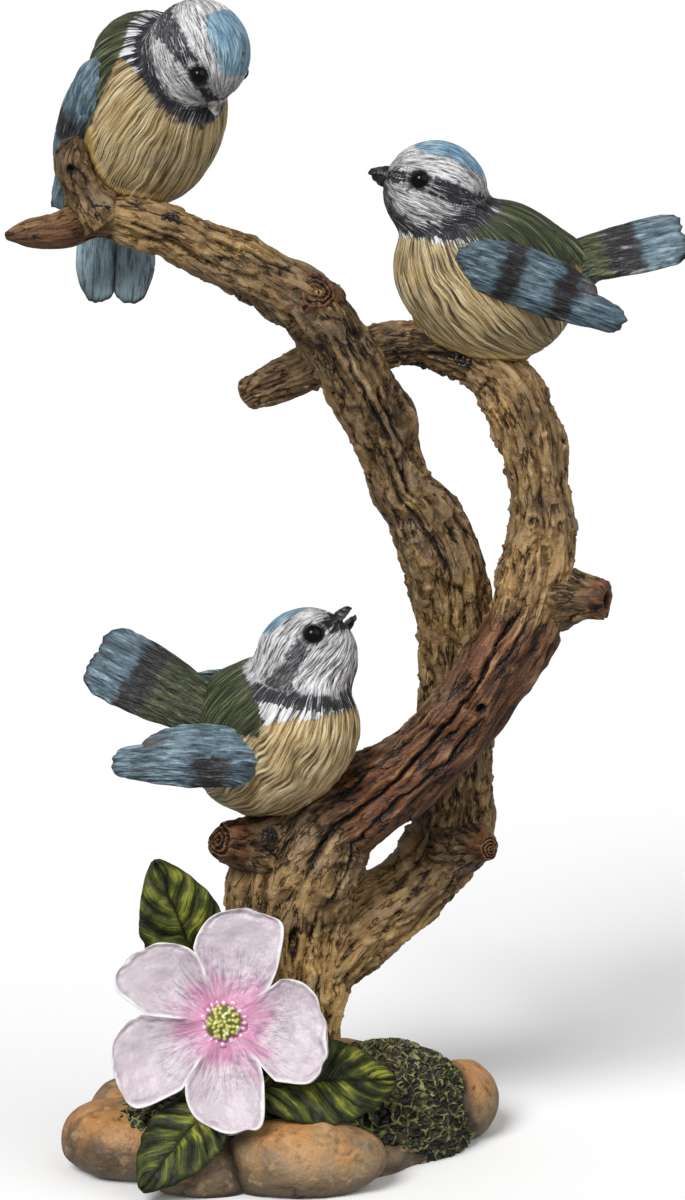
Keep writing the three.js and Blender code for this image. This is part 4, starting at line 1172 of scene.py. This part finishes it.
# A tail: a fan with a shallow fork, quills and barbs along it, green at its root and with one dark band.
def tailSurface(tail, seed):
    start = np.array(tail["root"], float)
    inside = start - 0.35 * (np.array(tail["tip"], float) - start)
    root, length, along, side, up = axesAlong(inside, tail["tip"], tail["face"])
    share, x, z = bladeGrid(56, 96)
    half = tail["width"] / 2 * (0.45 + 0.55 * np.sin(np.pi * np.minimum(0.62 * share, 0.5)))
    aside = x * half
    barbs = barbsOf(x * tail["width"] / 2, share * length, seed)
    quills = np.abs(np.sin(x * 2.5 * np.pi))
    ragged = noise(asPoints(aside / 1.7, 0, seed), 8)
    thick = birdSizes["tailThickness"] * (1 - 0.5 * share)
    rounded = tail["corner"] * np.clip((np.abs(x) - 0.5) / 0.5, 0, 1) ** 2.2
    lobes = tail["fork"] * (2.6 * np.sqrt(np.abs(np.sin(np.pi * x))) - 1.6)
    fork = smooth(share, 0.75, 1) * (lobes - rounded + 0.9 * ragged)
    rise = 1.2 * (1 - x * x) * share
    rings = reached(root, (along, side, up), (length * share + fork, aside, rise - z * thick))
    middle = tail["fork"] * bell(x, 0, 0.06) * smooth(share, 0.3, 0.7)
    rings = raised(rings, (0.16 * barbs + 0.3 * quills - 0.9 * middle) * (1 - smooth(share, 0.97, 1)))
    seen = (share - 0.26) / 0.74 + 0.04 * ragged
    first, last = tail["band"]
    band = smooth(seen, first - 0.08, first - 0.03) * (1 - smooth(seen, last - 0.04, last + 0.12))
    green = 1 - smooth(seen, first - 0.02, first + 0.03)
    # lighter raises the tone; on the top bird's tail it is painted light where the branch shades it.
    stroke = 0.34 + 0.34 * barbs + 0.25 * quills + tail["lighter"]
    shade = np.maximum(bell(share, 1, 0.02), middle)
    places = {"aside": aside, "deep": seed, "along": share * length}
    return closed(rings, stroke=stroke, band=band, green=green, shade=shade, **places)


# Upper and lower halves of the beak, opened by the gape, each a tapered half-round with a blunt tip.
def beakSurfaces(bird):
    sizes = birdSizes["beak"]
    look, left, crown = axesOf(bird["look"], bird["crown"])
    halves = []
    for hand in (1, -1):
        lean = np.radians(bird["gape"] / 2) * hand
        along = look * np.cos(lean) + crown * np.sin(lean)
        over = crown * np.cos(lean) - look * np.sin(lean)
        share, x, z = bladeGrid(26, 30)
        taper = sizes["radius"] * (1 - share) ** bird["blunt"] * (1 if hand > 0 else 0.86) + 0.12
        length = sizes["length"] * (1 if hand > 0 else 0.9)
        hook = -0.6 * share**2 if hand > 0 else 0
        height = np.where(z > 0, z, 0.12 * z) * taper * hand + hook
        start = np.array(bird["head"], float) + look * sizes["ahead"] + crown * sizes["up"]
        rings = reached(start, (along, left, over), (length * share, x * taper * 0.9, height))
        chips = noise(rings / 1.1, bird["seed"])
        halves.append(closed(raised(rings, 0.28 * chips), pale=bird["horn"] + 0.35 * chips))
    return halves


# The middle of an eye, hand being 1 on the left and -1 on the right.
def eyeCentre(bird, hand):
    look, left, crown = axesOf(bird["look"], bird["crown"])
    ahead, aside, up = bird["eye"][:3]
    return np.array(bird["head"], float) + look * ahead + left * aside * hand + crown * up


# The three toes of a foot that grips a branch under the belly's front edge.
def clawSurfaces(foot, spines):
    stem, place, degrees, clear = foot
    spine = spines[stem]
    row = np.argmin(np.abs(spine["distance"] - place))
    along = spine["along"][row]
    toes = []
    for spread in (-1.7, 0, 1.7):
        share, x, z = bladeGrid(22, 14)
        angle = np.radians(degrees) - np.radians(20) * (share + 0.02 * spread) * np.sign(degrees)
        away = awayFrom(spine["side"][row], spine["across"][row], angle)
        knuckle = 1 + 0.25 * np.cos(share * 4 * np.pi + spread)
        thick = (1 - 0.7 * share**2) * knuckle
        reach = spine["girth"][row] + clear + 0.5 * np.sin(np.pi * share)
        centre = reached(spine["centres"][row], (along, away), (spread * (0.4 + 0.9 * share), reach))
        toes.append(closed(reached(centre, (along, away), (x * thick, z * thick))))
    return toes


# The body's relief: strokes, a lid round each eye, and a flange where the belly meets the branch.
def makeBird(bird, spines, materials):
    masses = birdMasses(bird)
    head = np.array(bird["head"], float)
    belly = np.array(bird["belly"], float)
    middle = belly + (head - belly) * birdSizes["middle"]
    rings = bodyRings(masses, middle, unit(head - middle), birdSizes["rows"], birdSizes["around"])
    places, onBody = featherPlaces(bird, rings)
    strokes = featherStrokes(bird, places, onBody)
    edge = noise(rings / 1.3, 12) + 0.6 * strokes
    masks = plumageMasks(bird, rings, edge)
    eyeRadius = bird["eye"][3]
    lids = np.zeros(rings.shape[:2])
    sockets = np.zeros(rings.shape[:2])
    for hand in (1, -1):
        off = np.linalg.norm(rings - eyeCentre(bird, hand), axis=-1)
        lids += bell(off, eyeRadius + 1.1, 0.35)
        sockets += 1 - smooth(off, eyeRadius + 0.15, eyeRadius + 0.6)
    onBranch = np.min([clearOf(spine, rings) for spine in spines.values()], axis=0)
    flange = 1 - smooth(onBranch, 0.8, 2.2)
    depth = birdSizes["stroke"]["depth"] * (1 - 0.8 * sockets) * (1 - 0.35 * masks["cap"])
    rings = raised(rings, depth * strokes + 0.25 * lids + 0.7 * flange)
    shade = np.clip(sockets + 0.5 * bell(onBranch, 0.2, 0.5), 0, 1)
    looks = {
        "stroke": 0.5 + 0.5 * strokes + bird["whiter"] * masks["head"], "flange": flange * masks["belly"],
        "shade": shade, "lid": np.clip(lids, 0, 1), "onBody": onBody,
    }
    names = ("headAside", "headDeep", "headAlong", "aside", "deep", "along")
    looks.update(zip(names, np.moveaxis(np.concatenate(places, axis=-1), -1, 0)))
    body = closed(rings, **looks, **masks)
    name = bird["name"]
    addPiece(name + "_body", [body], materials["plumage"], name, "plumage")
    feathers = []
    for number, wing in enumerate(bird["wings"]):
        layers = [*flightLayers, coverts] if number == 0 else flightLayers
        for k, layer in enumerate(layers):
            feathers.append(wingLayer(wing, layer, bird["wingBands"], bird["seed"] + 7 * number + k))
    feathers.append(tailSurface(bird["tail"], bird["seed"] + 31))
    addPiece(name + "_wings_and_tail", feathers, materials["flight"], name, "plumage")
    addPiece(name + "_beak", beakSurfaces(bird), materials["horn"], name, "plumage")
    eyes = [closed(eyeCentre(bird, hand) + ballGrid(22, 32) * eyeRadius) for hand in (1, -1)]
    addPiece(name + "_eyes", eyes, materials["eye"], name, "plumage")
    toes = [toe for foot in bird["claws"] for toe in clawSurfaces(foot, spines)]
    addPiece(name + "_claws", toes, materials["claw"], name, "plumage")


def hornLook(skin):
    tone = skin.attribute("pale") + 0.5 * (skin.grain(1.2, 3.0) - 0.5)
    greys = [(0.0, (12, 11, 14)), (0.4, (52, 50, 54)), (0.7, (112, 108, 108)), (1.0, (190, 184, 180))]
    return {"Base Color": tone.ramp(*greys)}


def clawLook(skin):
    return {"Base Color": skin.grain(1.2, 2.0).ramp((0.3, (12, 9, 8)), (0.75, (52, 43, 38)))}


def makeBirds(spines):
    eyeGloss = {"Base Color": paint(5, 4, 5), "Roughness": 0.1, "Specular IOR Level": 0.22}
    materials = {
        "plumage": finish("plumage_paint", plumageLook, {"Roughness": 0.5}),
        "flight": finish("flight_feather_paint", flightLook, {"Roughness": 0.48}),
        "horn": finish("beak_paint", hornLook, {"Roughness": 0.4}),
        "eye": finish("eye_gloss", lambda skin: {}, eyeGloss),
        "claw": finish("claw_paint", clawLook, {"Roughness": 0.35}),
    }
    for bird in birds:
        makeBird(bird, spines, materials)


# Flower

flower = {
    "centre": [-14.3, -28, 42], "face": [-0.05, -0.93, 0.36], "halfThickness": 1.2,
    "button": 4.4, "ring": 6.3, "receptacle": 12, "grains": 62,
    "beadRing": 5.3, "beads": 17, "dome": [4.9, 2.0],  # the dome's radius and height
}
# angle is in degrees from the right, and corner is how far the end slants to one side.
petals = [
    {"angle": 80, "length": 29, "width": 22, "corner": -1.6},
    {"angle": -7, "length": 26.5, "width": 26, "corner": -2.0},
    {"angle": -87, "length": 28, "width": 20, "corner": 1.6},
    {"angle": -153, "length": 31, "width": 22, "corner": 2.0},
    {"angle": 145, "length": 28.5, "width": 20, "corner": 2.6},
]
endShape = {"square": 5.5, "round": 3.2}


def flowerAxes():
    face = unit(flower["face"])
    right = unit(np.cross([0, 0, 1], face))
    return face, right, np.cross(face, right)


# How wide a petal is at this distance out, on the side towards its neighbour: it fills its share of the
# circle up to the seam between them, and then follows its own outline, the rounder the smaller blunt is.
def petalReach(petal, neighbour, out, share, blunt):
    between = np.abs((neighbour - petal["angle"] + 180) % 360 - 180) / 2
    widest = petal["width"] / 2 * (0.8 + 0.2 * smooth(share, 0.1, 0.6))
    rounded = widest * np.sqrt(np.clip(1 - np.clip((share - 0.55) / 0.45, 0, 1) ** blunt, 0.0, 1))
    return np.minimum(out * np.tan(np.radians(min(between, 50))), rounded)


# A petal: a cupped blade with a round end, a raised rim, painted shade in the groove inside it and fine lines
# that run out from its root.
def petalSurface(petal, number):
    face, right, up = flowerAxes()
    turn = np.radians(petal["angle"])
    way = right * np.cos(turn) + up * np.sin(turn)
    centre = np.array(flower["centre"], float)
    root, length, along, side, out = axesAlong(centre + way, centre + way * petal["length"] + face * 3, face)
    share, x, z = bladeGrid(64, 104)
    share = 1 - (1 - share) ** 1.35
    distance = 1 + length * share
    angles = [other["angle"] for other in petals if other is not petal]
    leftward = min(angles, key=lambda other: (other - petal["angle"]) % 360)
    rightward = min(angles, key=lambda other: (petal["angle"] - other) % 360)
    left, right = ("square", "round") if petal["corner"] > 0 else ("round", "square")
    toLeft = petalReach(petal, leftward, distance, share, endShape[left])
    toRight = petalReach(petal, rightward, distance, share, endShape[right])
    half = np.where(x > 0, toLeft, toRight)
    aside = x * half
    over = z < 0
    inward = (1 - np.abs(x)) * half
    toEnd = (1 - share) * length
    wear = asPoints(aside, distance, number)
    fromEdge = np.minimum(inward, toEnd) + 0.5 * noise(wear / 3.5, 89) + 0.2 * noise(wear / 1.2, 88)
    rim = (1 - smooth(fromEdge, 0.3, 1.4)) * smooth(distance, 7, 11)
    spot = asPoints(aside, distance, 3 * number)
    bearing = np.arctan2(aside, distance)
    lines = noise(asPoints(bearing * 21, distance / 9, number), 80 + number)
    fade = smooth(distance, 6, 9) * (1 - smooth(distance + 3 * noise(spot / 3, 91), 12, 22))
    dents = noise(spot / 4, 90)
    rise = 3.4 * (x * x - 0.45) * np.sin(np.pi * np.minimum(share, 0.9)) + 0.4 * dents
    skew = petal["corner"] * x * half * 2 / petal["width"]
    corner = (skew + 0.8 * noise(wear / [4, 60, 1], 86)) * smooth(share, 0.5, 0.9)
    trench = bell(fromEdge, 1.6, 0.45) * smooth(distance, 9, 13) * smooth(noise(wear / 6, 87), -0.35, 0.2)
    lift = 0.85 * rim - 0.35 * trench - 0.22 * crease(lines, 0.22) * fade + 0.1 * noise(spot / 1.2, 92)
    steps = (length * share + corner, aside, rise - z * flower["halfThickness"], np.where(over, lift, 0))
    rings = reached(root, (along, side, out, out), steps)
    pink = (1 - smooth(distance + 2.0 * dents + 4.0 * np.abs(lines), 5, 18)) * over
    lilac = smooth(noise(spot / [6, 10, 1], 93) + 0.4 * lines, -0.4, 0.7) * over
    # Purple-grey lines, and painted shade in the groove inside the rim.
    scratch = np.maximum(crease(lines, 0.2) * fade, trench * smooth(noise(spot / 2, 94), -0.3, 0.3)) * over
    brushed = (1 - smooth(distance + 3 * dents, 13, 24)) * over
    places = {"aside": bearing * 12, "deep": 7.0 * number, "along": distance}
    return closed(rings, rim=rim, pink=pink, lilac=lilac, scratch=scratch, brushed=brushed, **places)


# White petals washed with lilac, pink towards the middle, with purple-grey lines, painted shade inside the
# rim and a white rim.
def petalLook(skin):
    body = skin.grain(7, 3.0).ramp((0.3, (189, 176, 184)), (0.55, (198, 187, 193)), (0.75, (210, 201, 205)))
    body = body.towards((206, 186, 197), skin.attribute("lilac") * 0.35)
    lines = skin.lengthGrain(0.6, 9.0, 3.0)
    pink = (skin.attribute("pink") + 1.1 * (lines - 0.5) * skin.attribute("brushed")).step(0.0, 1.0)
    body = body.towards((208, 134, 172), pink * 0.9)
    body = body.towards((104, 90, 122), lines.crossing(0.03) * skin.attribute("brushed") * 0.5)
    # Purple-grey lines and painted shade inside the rim.
    body = body.towards((122, 102, 124), skin.attribute("scratch") * 0.45)
    body = body.towards((158, 148, 160), skin.grain(1.0, 5.0).step(0.58, 0.74) * 0.16)
    body = body.towards((238, 236, 236), skin.attribute("rim") * (0.35 + 0.8 * skin.grain(5, 3.0)))
    roughness = 0.34 + 0.15 * skin.grain(4, 2.0)
    return {"Base Color": body, "Roughness": roughness, "Normal": skin.grain(1.0, 4.0).bump(0.2)}


# A dome of small grains of uneven height, in a ring of pink beads.
def stamenSurface():
    face, right, up = flowerAxes()
    ball = ballGrid(64, 108)
    size = flower["ring"]
    front = ball[..., 2] > 0
    off = np.hypot(ball[..., 0], ball[..., 1]) * size
    azimuth = np.arctan2(ball[..., 1], ball[..., 0])
    order = np.arange(flower["grains"])
    goldenTurn = 2.39996
    chance = np.random.default_rng(21)
    seedOff = np.sqrt((order + 0.5) / len(order)) * flower["button"]
    seedTurn = order * goldenTurn + chance.normal(size=len(order)) * 0.25
    x, y = ball[..., 0] * size, ball[..., 1] * size
    grain, bright = 0 * x, 0 * x
    for place, turn in zip(seedOff, seedTurn):
        apart = np.hypot(x - place * np.cos(turn), y - place * np.sin(turn))
        near = chance.uniform(0.5, 1.0) * np.clip(1 - (apart / 0.6) ** 2, 0, 1)
        bright = np.where(near > grain, chance.uniform(0, 1) * near, bright)
        grain = np.maximum(grain, near)
    parted = 0.5 + 0.5 * np.cos(azimuth * flower["beads"] + 2 * np.sin(3 * azimuth))
    beads = bell(off, flower["beadRing"] + 0.25 * np.sin(7 * azimuth), 0.6) * parted
    domeRadius, domeHeight = flower["dome"]
    dome = domeHeight * np.sqrt(np.clip(1 - (off / domeRadius) ** 2, 0, 1)) + 0.8
    depth = np.where(front, dome + 1.0 * grain + 1.1 * beads, ball[..., 2] * flower["receptacle"])
    rings = reached(np.array(flower["centre"], float), (right, up, face), (x, y, depth))
    button = (1 - smooth(off + 0.5 * noise(ball * 6, 85), 4.1, 4.7)) * front
    grain = np.maximum(grain, beads) * front
    return closed(rings, grain=grain, bright=bright * front, button=button, green=(~front).astype(float))


def stamenLook(skin):
    yolk = skin.attribute("grain").ramp((0.0, (84, 86, 34)), (0.3, (160, 160, 70)), (0.7, (208, 208, 124)))
    yolk = yolk.towards((240, 238, 220), skin.attribute("bright").step(0.35, 0.7))
    pinks = [(0.0, (150, 78, 116)), (0.3, (200, 140, 172)), (0.8, (240, 222, 230))]
    ring = skin.attribute("grain").ramp(*pinks)
    ring = ring.towards((48, 56, 24), skin.attribute("green"))
    return {"Base Color": ring.towards(yolk, skin.attribute("button"))}


def makeFlower():
    node = ("flower", "petal")
    paintOn = finish("petal_paint", petalLook, {})
    addPiece("flower_petals", [petalSurface(petal, k) for k, petal in enumerate(petals)], paintOn, *node)
    paintOn = finish("stamen_paint", stamenLook, {"Roughness": 0.45})
    addPiece("flower_stamens", [stamenSurface()], paintOn, *node)


# Leaves

leafSizes = {"halfThickness": 1.3, "sideVeins": 6.0, "slant": 1.5}
leaves = [
    {"name": "leaf_behind_flower", "root": [-19, -11.5, 46], "tip": [-31.8, -15.5, 81],
     "face": [0.1, -0.97, 0.15], "width": 22, "lighter": 0.4},
    {"name": "leaf_front", "root": [-15.5, -32, 23], "tip": [-34.5, -46.5, 3.8],
     "face": [-0.25, -0.8, 0.55], "width": 20, "lighter": 0.0},
    {"name": "leaf_right", "root": [-5, -30, 25.2], "tip": [29, -22.5, 24.8],
     "face": [0.05, -0.75, 0.66], "width": 24, "lighter": 0.0},
]


# A leaf: a pointed blade folded along its midrib, grooved along the midrib and the slanting side veins, and
# painted as much lighter as its table says.
def leafSurface(leaf, number):
    root, length, along, side, out = axesAlong(leaf["root"], leaf["tip"], leaf["face"])
    share, x, z = bladeGrid(80, 100)
    half = leaf["width"] / 2 * np.sin(np.pi * np.minimum(0.12 + 0.86 * share, 0.985)) ** 0.75
    over = z < 0
    aside = x * half
    spot = asPoints(aside, share * length, 9 * number)
    bend = 0.22 * noise(spot / 7, 97)
    phase = share * leafSizes["sideVeins"] - leafSizes["slant"] * np.abs(x) + bend + 0.5 * (x > 0)
    toVein = (phase - np.round(phase)) * length / leafSizes["sideVeins"]
    inward = (1 - np.abs(x)) * half
    sideVein = bell(toVein, 0, 0.34) * smooth(np.abs(x), 0.02, 0.1) * smooth(inward, 0.6, 2)
    vein = np.maximum(sideVein, bell(aside + 0.6 * noise(spot / 6, 94), 0, 0.5))
    puff = -0.22 * np.cos(2 * np.pi * phase) * smooth(np.abs(x), 0.05, 0.3)
    edge = bell(np.minimum(inward, (1 - share) * length), 0, 1.0)
    bright = smooth(np.abs(phase - np.round(phase)) + 0.35 * noise(spot / [5, 5, 1], 96), 0.1, 0.4)
    rise = 1.6 * np.abs(x) - 1.2 * x * x + 2 * np.sin(np.pi * share)
    half = half * (1 + 0.05 * noise(spot / 3, 98))
    lift = np.where(over, puff - 0.5 * vein + 0.14 * noise(spot / 1.1, 99), 0)
    steps = (length * share, x * half, rise - z * leafSizes["halfThickness"], lift)
    rings = reached(root, (along, side, out, out), steps)
    bright = bright * over + leaf["lighter"]
    upLeaf = phase * length / leafSizes["sideVeins"]
    places = {"aside": upLeaf, "deep": 9.0 * number, "along": np.abs(x) * half}
    return closed(rings, vein=vein * over, edge=edge, bright=bright, **places)


# Dark green with yellow-green brushed between black veins, greyer here and there.
def leafLook(skin):
    streaks = skin.lengthGrain(0.8, 4.0, 2.0)
    tone = 0.34 * skin.attribute("bright") + 1.0 * (streaks - 0.5) + 0.3 * (skin.grain(1.0, 5.0) - 0.5)
    tone = tone + 1.3 * (skin.grain(7, 2.0) - 0.5) + 0.16
    green = tone.ramp((0.0, (26, 31, 14)), (0.3, (52, 59, 25)), (0.55, (84, 90, 32)), (0.9, (156, 158, 62)))
    green = green.towards((104, 110, 76), skin.grain(6, 3.0).step(0.55, 0.68) * 0.3)
    green = green.towards((30, 36, 20), skin.attribute("edge") * 0.7)
    green = green.towards((13, 13, 7), skin.attribute("vein"))
    return {"Base Color": green, "Roughness": 0.42 + 0.2 * skin.grain(5, 2.0), "Normal": streaks.bump(0.5)}


def makeLeaves():
    gloss = finish("leaf_paint", leafLook, {"Specular IOR Level": 0.2})
    for number, leaf in enumerate(leaves):
        addPiece(leaf["name"] + "_blade", [leafSurface(leaf, number)], gloss, leaf["name"], "leaf")


setUpStudio()
print("studio ready")
stemSpines = makeBranches()
print("branches ready")
makeBase(stemSpines)
print("base ready")
makeFlower()
makeLeaves()
print("flower and leaves ready")
makeBirds(stemSpines)
print("birds ready")
